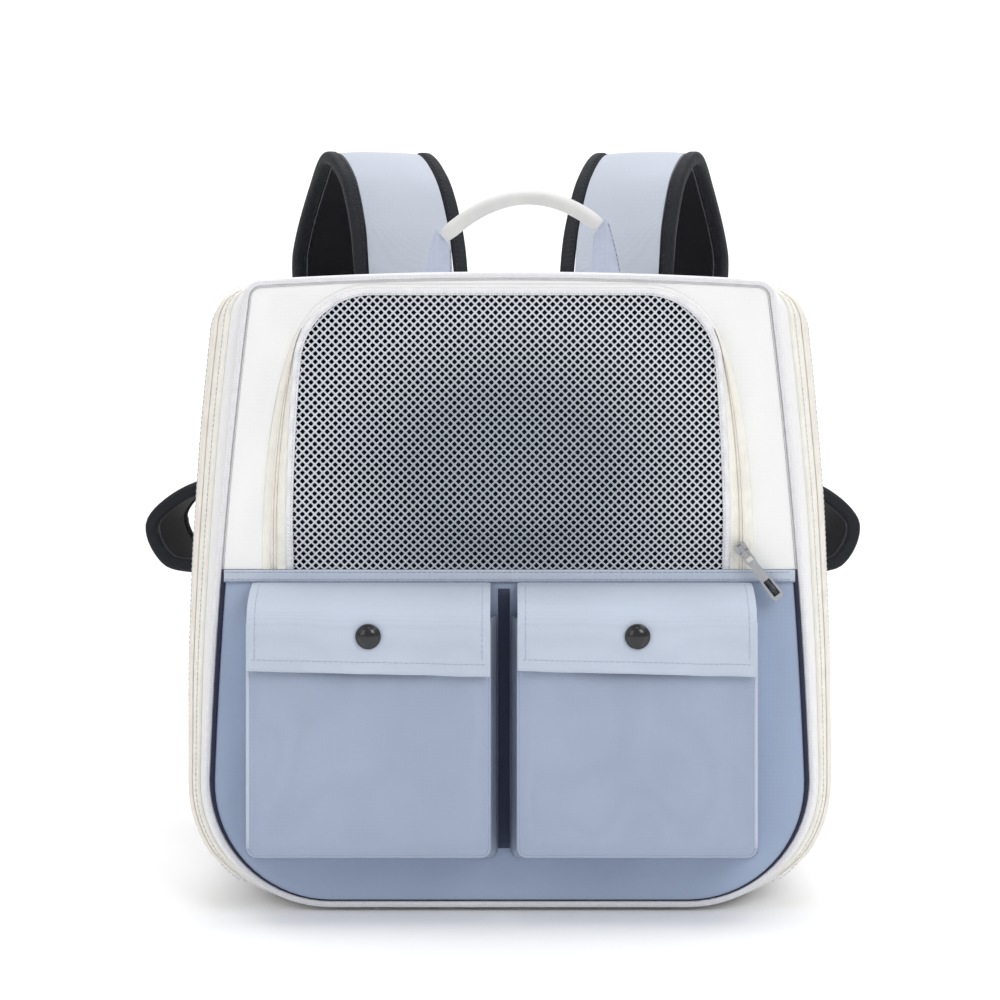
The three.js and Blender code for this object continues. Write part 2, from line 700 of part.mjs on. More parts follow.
function pocketRing(ends, section, wall, top) {
  const inset = section.taper * POCKET_TAPER + section.round * POCKET_EDGE_RADIUS + wall;
  const foot = POCKET_FOOT + section.taper * POCKET_FOOT_TAPER + section.round * POCKET_EDGE_RADIUS + wall;
  const radius = POCKET_CORNER_RADIUS - wall;
  const low = ends.low + inset;
  const high = ends.high - inset;
  const y = pocketBack - section.depth * (POCKET_DEPTH - wall);
  const corner = (x, firstAngle) => Array.from({ length: POCKET_CORNER_STEPS + 1 }, (_, step) => {
    const angle = firstAngle + step / POCKET_CORNER_STEPS * Math.PI / 2;
    return new THREE.Vector3(x + radius * Math.cos(angle), y, foot + radius + radius * Math.sin(angle));
  });
  return [
    new THREE.Vector3(low, y, top),
    ...corner(low + radius, Math.PI),
    ...corner(high - radius, Math.PI * 1.5),
    new THREE.Vector3(high, y, top),
  ];
}

function makePocket(side) {
  const ends = pocketEnds(side === 'right');
  const outer = POCKET_SECTIONS.map((section) => pocketRing(ends, section, 0, pocketTop));
  const inner = POCKET_SECTIONS.map((section) => pocketRing(ends, section, POCKET_WALL, pocketTop + 1));
  const behind = inner[0].map((point) => point.clone().setY(pocketBack + 1));
  const hollow = toSolid(skin([behind, ...inner], false));
  const shell = toSolid(skin(outer, false)).subtract(hollow);
  add(`pocket_${side}`, toGeometry(shell), blueCloth);
}

const flapReach = POCKET_DEPTH + FLAP_CLEARANCE + FLAP_THICKNESS;

function flapSection(x, drop) {
  const outer = FLAP_SECTIONS.map((section) => (
    new THREE.Vector2(pocketBack - section.out * flapReach, flapTop - section.drop * drop)
  ));
  const inner = movedOut(outer, -FLAP_THICKNESS, false).reverse();
  inner.at(-1).x = Math.min(inner.at(-1).x, pocketBack);
  return [...outer, ...inner].map((point) => new THREE.Vector3(x, point.x, point.y));
}

function makeFlap(side) {
  const ends = pocketEnds(side === 'right');
  const rings = [
    flapSection(ends.low + POCKET_TAPER, FLAP_DROP),
    flapSection(ends.high - POCKET_TAPER, FLAP_DROP + FLAP_HEM_SLOPE),
  ];
  add(`pocket_flap_${side}`, skin(rings, false), paleBlueCloth);
}

function makeSnapCap(side) {
  const ends = pocketEnds(side === 'right');
  const profile = new THREE.Path();
  profile.moveTo(0, 0);
  profile.lineTo(SNAP_RADIUS, 0);
  profile.lineTo(SNAP_RADIUS, SNAP_HEIGHT * 0.3);
  profile.quadraticCurveTo(SNAP_RADIUS * 0.85, SNAP_HEIGHT, 0, SNAP_HEIGHT);
  const geometry = new THREE.LatheGeometry(profile.getPoints(CURVE_STEPS), 20);
  geometry.rotateX(Math.PI);
  const frontmost = FLAP_SECTIONS.at(-1).out;
  const height = flapTop - FLAP_DROP + SNAP_ABOVE_HEM;
  geometry.translate((ends.low + ends.high) / 2, pocketBack - frontmost * flapReach - GAP, height);
  add(`snap_cap_${side}`, geometry, blackPlastic);
}

// Handle

const handleY = FRONT + HANDLE_DEPTH;

function gripPoint(share) {
  const x = HANDLE_SHIFT + (share * HANDLE_SPAN) / 2;
  const crest = BODY_TOP + HANDLE_RISE;
  const z = crest - HANDLE_ARCH * share * share + (HANDLE_END_RISE * share) / 2;
  return new THREE.Vector3(x, handleY, z);
}

function makeHandle() {
  const shares = [-1, -0.75, -0.4, 0, 0.4, 0.75, 1];
  const curve = new THREE.CatmullRomCurve3(shares.map(gripPoint));
  const section = new THREE.Shape().absarc(0, 0, GRIP_RADIUS, 0, 2 * Math.PI);
  const grip = new THREE.ExtrudeGeometry(section, {
    steps: 16,
    curveSegments: CURVE_STEPS,
    extrudePath: curve,
    bevelEnabled: false,
  });
  add('handle_grip', grip, whiteRubber);
  for (const side of ['left', 'right']) {
    const sign = side === 'right' ? 1 : -1;
    const end = gripPoint(sign);
    const inward = gripPoint(sign * 0.9).sub(end).normalize();
    const across = new THREE.Vector2(inward.z, -inward.x).multiplyScalar(TAB_WIDTH / 2);
    const head = new THREE.Vector2(end.x - inward.x * GAP * 2, end.z - inward.z * GAP * 2);
    const footX = head.x + sign * TAB_SPLAY;
    const foot = BODY_TOP + GAP;
    const outline = [
      new THREE.Vector2(footX - TAB_FOOT_WIDTH / 2, foot),
      new THREE.Vector2(footX + TAB_FOOT_WIDTH / 2, foot),
      head.clone().add(across),
      head.clone().sub(across),
    ];
    add(`handle_tab_${side}`, plate(outline, handleY - TAB_THICKNESS / 2, TAB_THICKNESS), paleBlueCloth);
  }
}

// Ribbons: a centre line with a width that turns as it goes

function makeRibbon(points, turns, sideSign) {
  const curve = new THREE.CatmullRomCurve3(points, false, 'centripetal');
  curve.arcLengthDivisions = 1000;
  const length = curve.getLength();
  const spans = points.length - 1;
  const turnAt = (share) => {
    const place = Math.min(spans - 1, Math.floor(share * spans));
    return THREE.MathUtils.lerp(turns[place], turns[place + 1], share * spans - place);
  };
  // A point at a distance along, across towards the outer edge, and lifted towards the outer face
  const place = (along, across, lift) => {
    const share = curve.getUtoTmapping(THREE.MathUtils.clamp(along / length, 0, 1));
    const tangent = curve.getTangent(share);
    const turn = THREE.MathUtils.degToRad(turnAt(share));
    const width = new THREE.Vector3(sideSign * Math.cos(turn), -Math.sin(turn), 0);
    width.addScaledVector(tangent, -width.dot(tangent)).normalize();
    const face = tangent.clone().cross(width).multiplyScalar(-sideSign);
    return curve.getPoint(share).addScaledVector(width, across).addScaledVector(face, lift);
  };
  return { length, place };
}

const strapSeatY = BACK + 2 * GAP + STRAP_BINDING_THICKNESS / 2;

function strapRibbon(sideSign, reach) {
  const root = STRAP_SPACING / 2 + sideSign * STRAPS_SHIFT;
  const crest = BODY_TOP + STRAP_RISE;
  const points = STRAP_SECTIONS.map(({ out, back, high }) => new THREE.Vector3(
    sideSign * THREE.MathUtils.lerp(root, reach, out),
    strapSeatY + back * STRAP_STAND_OFF,
    THREE.MathUtils.lerp(STRAP_CURL_HEIGHT, crest, high),
  ));
  return makeRibbon(points, STRAP_SECTIONS.map(({ turn }) => turn), sideSign);
}

function ribbonBody(ribbon, stations, section, crossedSides) {
  const rings = stations.map(({ along, narrowing }) => section.map(([across, lift]) => (
    ribbon.place(along, across - Math.sign(across) * narrowing, lift)
  )));
  return skin(rings, false, crossedSides);
}

function evenStations(start, end, count) {
  return Array.from({ length: count + 1 }, (_, step) => (
    { along: THREE.MathUtils.lerp(start, end, step / count), narrowing: 0 }
  ));
}

// The binding runs down one edge, across the end and up the other edge
function strapBinding(ribbon, alongs) {
  const middle = (STRAP_WIDTH - STRAP_BINDING_WIDTH) / 2;
  const endMiddle = ribbon.length - STRAP_BINDING_WIDTH / 2;
  const radius = STRAP_CORNER_RADIUS;
  const straight = alongs.filter((along) => along < endMiddle - radius - PAD_END_ROUNDING);
  const line = straight.map((along) => new THREE.Vector2(along, -middle));
  const corner = new THREE.EllipseCurve(
    endMiddle - radius, radius - middle, radius, radius, -Math.PI / 2, 0,
  );
  line.push(...corner.getPoints(CURVE_STEPS), new THREE.Vector2(endMiddle, 0));
  const mirroredLine = line.slice(0, -1).reverse().map((point) => new THREE.Vector2(point.x, -point.y));
  const whole = [...line, ...mirroredLine];
  const half = STRAP_BINDING_WIDTH / 2;
  const inner = movedOut(whole, -half, false);
  const shoulder = movedOut(whole, half * 0.6, false);
  const outer = movedOut(whole, half, false);
  const lift = STRAP_BINDING_THICKNESS / 2;
  const rings = whole.map((_, place) => [
    ribbon.place(inner[place].x, inner[place].y, -lift),
    ribbon.place(shoulder[place].x, shoulder[place].y, -lift),
    ribbon.place(outer[place].x, outer[place].y, -lift * 0.4),
    ribbon.place(outer[place].x, outer[place].y, lift * 0.4),
    ribbon.place(shoulder[place].x, shoulder[place].y, lift),
    ribbon.place(inner[place].x, inner[place].y, lift),
  ]);
  return skin(rings, false);
}

// A straight frame at the end of the padding, with its own along, across and lift
function endFrame(ribbon) {
  const origin = ribbon.place(ribbon.length, 0, 0);
  const lift = ribbon.place(ribbon.length, 0, 1).sub(origin);
  const along = origin.clone().sub(ribbon.place(ribbon.length - 1, 0, 0)).normalize();
  const across = lift.clone().cross(along);
  return new THREE.Matrix4().makeBasis(along, across, lift).setPosition(origin);
}

function makeAdjuster(side, frame) {
  const start = GAP;
  const end = start + ADJUSTER_LENGTH;
  const half = ADJUSTER_WIDTH / 2;
  const lift = ADJUSTER_THICKNESS / 2;
  const slotHalf = half - ADJUSTER_SIDE;
  const slotLength = (ADJUSTER_LENGTH - 3 * ADJUSTER_BAR) / 2;
  const slotAt = (from) => toSolid(box([from, -slotHalf, -2 * lift], [from + slotLength, slotHalf, 2 * lift]));
  const firstSlot = start + ADJUSTER_BAR;
  const secondSlot = firstSlot + slotLength + ADJUSTER_BAR;
  const body = toSolid(box([start, -half, -lift], [end, half, lift]));
  const geometry = toGeometry(body.subtract(slotAt(firstSlot)).subtract(slotAt(secondSlot)));
  geometry.applyMatrix4(frame);
  add(`strap_adjuster_${side}`, geometry, blackPlastic);
}

// The webbing passes over the middle bar, down through the second slot, under the end bar,
// and then down to the back panel's lower corner
function makeWebbing(side, frame, sideSign) {
  const clear = ADJUSTER_THICKNESS / 2 + WEBBING_THICKNESS / 2 + 2 * GAP;
  const slotLength = (ADJUSTER_LENGTH - 3 * ADJUSTER_BAR) / 2;
  const slotStart = GAP + ADJUSTER_LENGTH - ADJUSTER_BAR - slotLength;
  const slotMiddle = slotStart + slotLength / 2;
  const threaded = [
    [slotStart - ADJUSTER_BAR - WEBBING_TAIL, -clear],
    [slotStart - GAP, -clear],
    [slotMiddle, 0],
    [slotStart + slotLength + GAP, clear],
    [GAP + ADJUSTER_LENGTH + WEBBING_LEAD, clear],
  ].map(([along, lift]) => new THREE.Vector3(along, 0, lift).applyMatrix4(frame));
  const last = threaded.at(-1);
  const anchorX = sideSign * (halfWidthAt(backOutline, WEBBING_ANCHOR_HEIGHT) - WEBBING_ANCHOR_MARGIN);
  const anchorY = BACK + 2 * GAP + WEBBING_THICKNESS / 2;
  const fall = last.z - WEBBING_ANCHOR_HEIGHT;
  const free = [
    { over: 0.35, forward: 0.12, down: 0.1 },
    { over: 0.75, forward: 0.5, down: 0.38 },
    { over: 0.95, forward: 0.9, down: 0.72 },
    { over: 1, forward: 1, down: 0.88 },
    { over: 1, forward: 1, down: 1 },
  ].map(({ over, forward, down }) => new THREE.Vector3(
    THREE.MathUtils.lerp(last.x, anchorX, over),
    THREE.MathUtils.lerp(last.y, anchorY, forward),
    last.z - down * fall,
  ));
  const turns = [90, 90, 90, 90, 90, 80, 45, 10, 0, 0];
  const ribbon = makeRibbon([...threaded, ...free], turns, sideSign);
  const half = WEBBING_WIDTH / 2;
  const lift = WEBBING_THICKNESS / 2;
  const section = [[-half, -lift], [half, -lift], [half, lift], [-half, lift]];
  const geometry = ribbonBody(ribbon, evenStations(0, ribbon.length, 40), section);
  add(`strap_webbing_${side}`, geometry, blackCloth);
}

function makeStrap(side) {
  const isRight = side === 'right';
  const sideSign = isRight ? 1 : -1;
  const ribbon = strapRibbon(sideSign, isRight ? STRAP_REACH_RIGHT : STRAP_REACH_LEFT);
  const padHalf = STRAP_WIDTH / 2 - STRAP_BINDING_WIDTH - GAP;
  const padEnd = ribbon.length - STRAP_BINDING_WIDTH - GAP;
  const lowLift = -STRAP_THICKNESS / 2;
  const padFoot = lowLift + LINING_THICKNESS + GAP;
  const top = STRAP_THICKNESS / 2;
  const stations = evenStations(0, padEnd, STRAP_STEPS);
  stations.splice(-1, 0, { along: padEnd - PAD_END_ROUNDING, narrowing: 0 });
  stations.at(-1).narrowing = PAD_END_ROUNDING;
  const pad = [
    [-padHalf, padFoot], [padHalf, padFoot], [padHalf, top - PAD_CROWN],
    [padHalf * 0.6, top], [-padHalf * 0.6, top], [-padHalf, top - PAD_CROWN],
  ];
  const liningTop = lowLift + LINING_THICKNESS;
  const lining = [[-padHalf, liningTop], [padHalf, liningTop], [padHalf, lowLift], [-padHalf, lowLift]];
  add(`strap_pad_${side}`, ribbonBody(ribbon, stations, pad), strapCloth);
  add(`strap_lining_${side}`, ribbonBody(ribbon, stations, lining, LINING_LOW_SIDE), blackCloth);
  const alongs = stations.map(({ along }) => along);
  add(`strap_binding_${side}`, strapBinding(ribbon, alongs), blackCloth);
  const frame = endFrame(ribbon);
  makeAdjuster(side, frame);
  makeWebbing(side, frame, sideSign);
}

makeGusset();
makeGussetZippers();
makeFrontPanel();
add('back_panel', plate(backOutline, BACK - WALL, WALL), whiteCloth);
add('front_piping', piping(panelOutline, FRONT, -1, PIPING_STAND_OUT), whiteCloth);
add('back_piping', piping(backOutline, BACK, 1, 0), whiteCloth);
makeTrimBand();
makeNet();
makeWindow();
makeSlider();
makePull();
makeHandle();
for (const side of ['left', 'right']) {
  makePocket(side);
  makeFlap(side);
  makeSnapCap(side);
  makeStrap(side);
}

export default group;
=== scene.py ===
import bisect
import math

import bpy
from mathutils import Matrix, Vector, noise


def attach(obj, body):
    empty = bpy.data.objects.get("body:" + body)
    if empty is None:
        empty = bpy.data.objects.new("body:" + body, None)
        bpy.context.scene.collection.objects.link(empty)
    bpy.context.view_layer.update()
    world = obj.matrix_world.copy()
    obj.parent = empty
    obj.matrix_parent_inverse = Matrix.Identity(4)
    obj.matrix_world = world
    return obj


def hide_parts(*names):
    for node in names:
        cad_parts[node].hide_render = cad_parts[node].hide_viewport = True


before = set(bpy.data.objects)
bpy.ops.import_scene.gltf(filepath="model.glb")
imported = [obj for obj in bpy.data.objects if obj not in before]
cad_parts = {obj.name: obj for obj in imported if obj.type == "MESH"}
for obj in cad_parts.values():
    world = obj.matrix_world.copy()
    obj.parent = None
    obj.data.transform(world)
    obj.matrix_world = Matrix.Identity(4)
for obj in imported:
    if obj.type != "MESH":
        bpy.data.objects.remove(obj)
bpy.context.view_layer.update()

# All lengths below are millimetres, and MM turns them into Blender's metres.
MM = 0.001
GAP = 0.3
STITCH_GAP = 0.7

# Body, the same values as the frame's solids
PANEL_FOOT, PANEL_TOP = 7, 379.2
PANEL_WIDTH, PANEL_SHOULDER_WIDTH = 358, 311
PANEL_SHOULDER_RADIUS, PANEL_TOP_ARCH, PANEL_BOW = 7, 4.6, 3.2
BOTTOM_CORNER_RADIUS = 72
SEAM_HEIGHT = 205
BODY_DEPTH, BODY_TOP, WALL = 230, 380, 3
FLARE_SIDES, FLARE_SHOULDERS, FLARE_DEPTH = 16.5, 28.5, 45
BODY_SHOULDER_RADIUS, BODY_TOP_ARCH, BODY_BOW = 36, 2.5, 4.2
BACK_INSET, BACK_TAPER_DEPTH = 8, 35
FLARE_PROFILE = [(0, 0), (0.11, 0.36), (0.35, 0.7), (0.65, 0.92), (1, 1)]
FRONT, BACK = -BODY_DEPTH / 2, BODY_DEPTH / 2
SEAM_INSET = WALL + GAP

# Piping, trim and zippers
PIPING_RADIUS, PIPING_STAND_OUT = 2, 1.2
TRIM_HEIGHT, TRIM_THICKNESS = 7, 1.2
TAPE_THICKNESS, COIL_HEIGHT = 1.2, 1.4
GUSSET_TAPE_DEPTH, GUSSET_TAPE_WIDTH, GUSSET_COIL_WIDTH = 10, 21, 5

# Window
WINDOW_SHIFT = -1
WINDOW_SIDE_MARGIN, WINDOW_TOP_MARGIN = 24.3, 2.5
WINDOW_CORNER_START, NET_CORNER_START = 25, 5
WINDOW_TAPE_WIDTH, WINDOW_TAPE_TOP_WIDTH, WINDOW_COIL_GAP = 14, 1.9, 0.7
WINDOW_BULGE = 12
BINDING_WIDTH, BINDING_THICKNESS, BINDING_STAND_OUT = 4.5, 2.4, 0.8
NET_LEAN, NET_CORNER_RADIUS, NET_CROWN = 4.5, 42, 3
NET_PITCH, NET_THREAD, NET_ROUNDING = 4.9, 0.95, 0.88
NET_MIDDLE, NET_GREY_HALF_WIDTH, NET_GREY_HALF_HEIGHT = 265, 130, 100

# Pockets, flaps and snap caps
POCKET_DEPTH, POCKET_FOOT = 35, 32
POCKET_LEFT_MARGIN, POCKET_RIGHT_MARGIN, POCKET_SPACING, POCKETS_SHIFT = 21, 30, 8, -3.3
POCKET_TAPER, POCKET_FOOT_TAPER, POCKET_EDGE_RADIUS = 4, 8, 5
POCKET_CORNER_RADIUS, POCKET_BELOW_FLAP_TOP = 5, 20
FLAP_THICKNESS, FLAP_DROP, FLAP_CLEARANCE, FLAP_HEM_SLOPE = 2, 47, 2.5, 3.5
SNAP_RADIUS, SNAP_ABOVE_HEM = 7.5, 20
POCKET_SECTIONS = [(0, 0), (0.5, 0.55), (0.86, 0.95), (0.96, 1), (1, 1)]
FLAP_SECTIONS = [(0, 0), (0.3, 0.03), (0.62, 0.1), (0.88, 0.22), (1, 0.4), (1.03, 0.7), (1.04, 1)]

# Handle
HANDLE_SPAN, HANDLE_SHIFT, HANDLE_DEPTH = 100, 7.7, 110
HANDLE_RISE, HANDLE_ARCH, HANDLE_TILT = 51, 21.5, 7.6
GRIP_RADIUS = 5
TAB_WIDTH, TAB_FOOT_WIDTH, TAB_THICKNESS, TAB_SPLAY = 14, 18, 2.5, 4

# Shoulder straps, adjusters and webbing
STRAP_SPACING, STRAPS_SHIFT, STRAP_REACH = 140, 3, {"left": 249, "right": 239}
STRAP_RISE, STRAP_STAND_OFF, STRAP_CURL_HEIGHT = 83, 104, 206
STRAP_WIDTH, STRAP_THICKNESS, LINING_THICKNESS = 78, 8, 1.5
STRAP_BINDING_WIDTH, STRAP_BINDING_THICKNESS = 10, 9.2
STRAP_CORNER_RADIUS = 7
CURL_START = 0.7
ADJUSTER_LENGTH, ADJUSTER_BAR, ADJUSTER_THICKNESS = 29, 3.6, 4
WEBBING_WIDTH, WEBBING_THICKNESS = 24, 1.6
WEBBING_TAIL, WEBBING_LEAD = 1, 4
WEBBING_ANCHOR_HEIGHT, WEBBING_ANCHOR_MARGIN = 66, 35
STRAP_SECTIONS = [
    (0, 0, 0.56, 0), (0, 0, 0.62, 0), (0.005, 0.012, 0.69, 1), (0.025, 0.07, 0.81, 14),
    (0.075, 0.22, 0.94, 20), (0.15, 0.5, 1, 20), (0.225, 0.85, 0.9, 20), (0.3, 1, 0.72, 28),
    (0.31, 0.9, 0.52, 50), (0.335, 0.68, 0.33, 76), (0.42, 0.5, 0.185, 88), (0.64, 0.43, 0.12, 90),
    (0.83, 0.42, 0.1, 87), (0.955, 0.42, 0.01, 80), (0.9, 0.42, -0.08, 80), (0.785, 0.42, -0.103, 86),
    (0.67, 0.42, -0.095, 90),
]
SIDES = {"left": -1, "right": 1}


def new_object(name, data):
    thing = bpy.data.objects.new(name, data)
    bpy.context.collection.objects.link(thing)
    return thing


def make_camera():
    """A level camera 1.6 m in front of the bag, at 0.6 mm to a pixel on its front."""
    data = bpy.data.cameras.new("camera")
    data.sensor_width = 36
    data.lens = 96
    data.shift_x = -0.0095
    data.shift_y = -0.2353
    data.clip_end = 60
    camera = new_object("camera", data)
    camera.location = (0, (FRONT - 1600) * MM, 0.388)
    camera.rotation_euler = (math.radians(90), 0, 0)
    bpy.context.scene.camera = camera


WORLD_STRENGTH = 0.56
FLOOR_START, FLOOR_BEND, FLOOR_BEND_RADIUS, FLOOR_HALF_WIDTH, BACKDROP_TOP = -3.0, 1.6, 1.2, 5, 5
# Name, place, size, power and the point it faces, in metres and watts
LIGHTS = [
    ("key", (1.5, -2.2, 2.0), 1.6, 30.6, (0, 0, 0.2)),
    ("fill", (-1.9, -2.0, 1.3), 1.8, 12.6, (0, 0, 0.2)),
    ("top", (0.1, 0.1, 2.6), 2.2, 19.8, (0, 0, 0.2)),
    ("backdrop", (0, 0.9, 2.4), 3.0, 40, (0, 2.4, 0.6)),
]


def make_studio():
    """A white floor that bends up into a backdrop far behind, and soft lights."""
    scene = bpy.context.scene
    scene.view_settings.view_transform = "Standard"
    world = bpy.data.worlds.new("studio")
    world.use_nodes = True
    background = world.node_tree.nodes["Background"]
    background.inputs["Color"].default_value = (1, 1, 1, 1)
    background.inputs["Strength"].default_value = WORLD_STRENGTH
    scene.world = world

    profile = [(FLOOR_START, 0)]
    for angle in steps(0, 90, 12):
        bend = math.radians(angle)
        profile.append((FLOOR_BEND + FLOOR_BEND_RADIUS * math.sin(bend),
                        FLOOR_BEND_RADIUS * (1 - math.cos(bend))))
    profile.append((FLOOR_BEND + FLOOR_BEND_RADIUS, BACKDROP_TOP))
    points = [(x, y, z) for y, z in profile for x in (-FLOOR_HALF_WIDTH, FLOOR_HALF_WIDTH)]
    faces = [(i, i + 1, i + 3, i + 2) for i in range(0, len(points) - 2, 2)]
    mesh = bpy.data.meshes.new("floor")
    mesh.from_pydata(points, [], faces)
    mesh.polygons.foreach_set("use_smooth", [True] * len(faces))
    paper = bpy.data.materials.new("paper")
    paper.use_nodes = True
    shader = paper.node_tree.nodes["Principled BSDF"]
    shader.inputs["Base Color"].default_value = (0.95, 0.95, 0.95, 1)
    shader.inputs["Roughness"].default_value = 0.9
    mesh.materials.append(paper)
    new_object("floor", mesh)

    for name, place, size, power, aim in LIGHTS:
        light = bpy.data.lights.new(name, "AREA")
        light.size = size
        light.energy = power
        lamp = new_object(name, light)
        lamp.location = place
        lamp.rotation_euler = (Vector(aim) - Vector(place)).to_track_quat("-Z", "Y").to_euler()


# Materials


class Nodes:
    """The shader nodes of one material."""

    def __init__(self, name):
        self.material = bpy.data.materials.new(name)
        self.material.use_nodes = True
        self.tree = self.material.node_tree
        self.shader = self.tree.nodes["Principled BSDF"]
        self.place = self.add("ShaderNodeTexCoord").outputs["Object"]

    def feed(self, socket, value):
        """A plain value or another node's output for a socket."""
        if isinstance(value, (int, float, tuple)):
            socket.default_value = value
        else:
            self.tree.links.new(value, socket)

    def add(self, kind, inputs=None, **settings):
        node = self.tree.nodes.new(kind)
        for key, value in settings.items():
            setattr(node, key, value)
        for key, value in (inputs or {}).items():
            self.feed(node.inputs[key], value)
        return node

    def put(self, name, value):
        self.feed(self.shader.inputs[name], value)

    def math(self, operation, first, second):
        return self.add("ShaderNodeMath", {0: first, 1: second}, operation=operation).outputs[0]

    def total(self, *layers):
        """The sum of sockets, each times its share."""
        total = 0.0
        for socket, share in layers:
            total = self.math("ADD", self.math("MULTIPLY", socket, share), total)
        return total

    def noise(self, size, detail=2.0):
        """Noise whose features are about size millimetres."""
        inputs = {"Vector": self.place, "Scale": 1 / (size * MM), "Detail": detail}
        return self.add("ShaderNodeTexNoise", inputs).outputs["Fac"]

    def weave(self, pitch):
        """Threads pitch millimetres apart that cross on a face of any direction."""
        inputs = {"Vector": self.place, "Scale": math.pi / 10 / (pitch * MM), "Distortion": 0.4}
        bands = [self.add("ShaderNodeTexWave", inputs, bands_direction=axis).outputs["Fac"] for axis in "XYZ"]
        return self.total(*((band, 1 / 3) for band in bands))

    def ramp(self, factor, stops):
        node = self.add("ShaderNodeValToRGB", {"Fac": factor})
        for element, (position, color) in zip(node.color_ramp.elements, stops):
            element.position = position
            element.color = (*color, 1)
        return node.outputs["Color"]

    def shades(self, factor, color, *stops):
        """A ramp between two shades of one colour."""
        return self.ramp(factor, [
            (position, tuple(min(1, value * share) for value in color)) for position, share in stops])

    def gloss(self, factor, *stops):
        """A roughness that runs between two values."""
        self.put("Roughness", self.shades(factor, (1, 1, 1), *stops))

    def woven(self, base, threads, start, gap):
        """The base colour, tinted with the colour gap between the threads."""
        node = self.add("ShaderNodeMix", {"Factor": 1.0}, data_type="RGBA", blend_type="MULTIPLY")
        colors = [socket for socket in node.inputs if socket.type == "RGBA"]
        self.feed(colors[0], base)
        self.feed(colors[1], self.ramp(threads, [(start, gap), (0.6, (1, 1, 1))]))
        self.put("Base Color", next(socket for socket in node.outputs if socket.type == "RGBA"))

    def relief(self, depth, *layers):
        """A bump of depth millimetres from heights and their shares."""
        inputs = {"Distance": depth * MM, "Height": self.total(*layers)}
        self.put("Normal", self.add("ShaderNodeBump", inputs).outputs["Normal"])


def cloth(name, color, pitch=0.8, roughness=0.78, sheen=0.15, crease=0.25, shade=0.05):
    """Woven cloth with uneven dye, a fine weave and soft creases."""
    nodes = Nodes(name)
    threads, fuzz = nodes.weave(pitch), nodes.noise(0.5)
    base = nodes.shades(nodes.noise(70, 3), color, (0.3, 1 - shade), (0.7, 1 + shade / 2))
    nodes.woven(base, threads, 0.15, (0.93, 0.93, 0.94))
    nodes.gloss(fuzz, (0.3, roughness - 0.08), (0.7, roughness + 0.08))
    nodes.relief(1.0, (threads, 0.12), (nodes.noise(26, 3), crease), (fuzz, 0.05))
    nodes.put("Sheen Weight", sheen)
    nodes.put("Sheen Roughness", 0.5)
    nodes.put("Specular IOR Level", 0.3)
    return nodes.material


def webbing(name, color, rib=1.4, shade=0.18, sheen=0.2):
    """Heavy ribbed webbing or binding tape."""
    nodes = Nodes(name)
    ribs, slub = nodes.weave(rib), nodes.noise(5, 3)
    base = nodes.shades(slub, color, (0.3, 1 - shade), (0.7, 1 + shade * 0.6))
    nodes.woven(base, ribs, 0.2, (0.8, 0.8, 0.82))
    nodes.gloss(slub, (0.2, 0.6), (0.8, 0.8))
    nodes.relief(1.0, (ribs, 0.3), (slub, 0.15))
    nodes.put("Sheen Weight", sheen)
    nodes.put("Specular IOR Level", 0.3)
    return nodes.material


def zipper(name, color):
    """Zipper tape: a fine weave with faint warm streaks."""
    nodes = Nodes(name)
    threads, streak = nodes.weave(0.7), nodes.noise(9)
    nodes.woven(nodes.shades(streak, color, (0.35, 0.96), (0.65, 1.03)), threads, 0.15, (0.9, 0.89, 0.87))
    nodes.gloss(streak, (0.2, 0.5), (0.8, 0.66))
    nodes.relief(1.0, (threads, 0.15), (streak, 0.1))
    nodes.put("Sheen Weight", 0.15)
    return nodes.material


def net_thread(name, color, grey_middle):
    """Knitted thread, pale round the window and greyer over its middle."""
    nodes = Nodes(name)
    kind = "ShaderNodeVectorMath"
    reach = (1 / (NET_GREY_HALF_WIDTH * MM), 0, 1 / (NET_GREY_HALF_HEIGHT * MM))
    centred = nodes.add(kind, {0: nodes.place, 1: (0, 0, NET_MIDDLE * MM)}, operation="SUBTRACT")
    spread = nodes.add(kind, {0: centred.outputs["Vector"], 1: reach}, operation="MULTIPLY")
    distance = nodes.add(kind, {0: spread.outputs["Vector"]}, operation="LENGTH")
    base = nodes.ramp(distance.outputs["Value"], [(0.45, grey_middle), (0.95, color)])
    nodes.woven(base, nodes.weave(0.5), 0.2, (0.84, 0.84, 0.86))
    nodes.gloss(nodes.noise(3), (0.2, 0.6), (0.8, 0.78))
    nodes.relief(0.1, (nodes.noise(0.4), 1))
    nodes.put("Sheen Weight", 0.1)
    return nodes.material


def plastic(name, color, roughness, grain=0.03, mottle=4.0, coat=0.0):
    """Moulded plastic or rubber with a faint grain and smudges."""
    nodes = Nodes(name)
    smudge = nodes.noise(mottle, 4)
    nodes.put("Base Color", nodes.shades(smudge, color, (0.3, 0.94), (0.7, 1.04)))
    nodes.gloss(smudge, (0.3, roughness * 0.8), (0.75, roughness * 1.25))
    nodes.relief(grain, (nodes.noise(0.6, 3), 1))
    nodes.put("Coat Weight", coat)
    nodes.put("Coat Roughness", 0.08)
    return nodes.material


def metal(name, color, roughness):
    """Plated die-cast metal with fine scratches."""
    nodes = Nodes(name)
    scratch = nodes.noise(0.4, 4)
    nodes.put("Base Color", nodes.shades(nodes.noise(6, 4), color, (0.3, 0.88), (0.7, 1.05)))
    nodes.put("Roughness", nodes.math("ADD", nodes.math("MULTIPLY", scratch, 0.18), roughness - 0.08))
    nodes.relief(0.02, (scratch, 1))
    nodes.put("Metallic", 1.0)
    return nodes.material


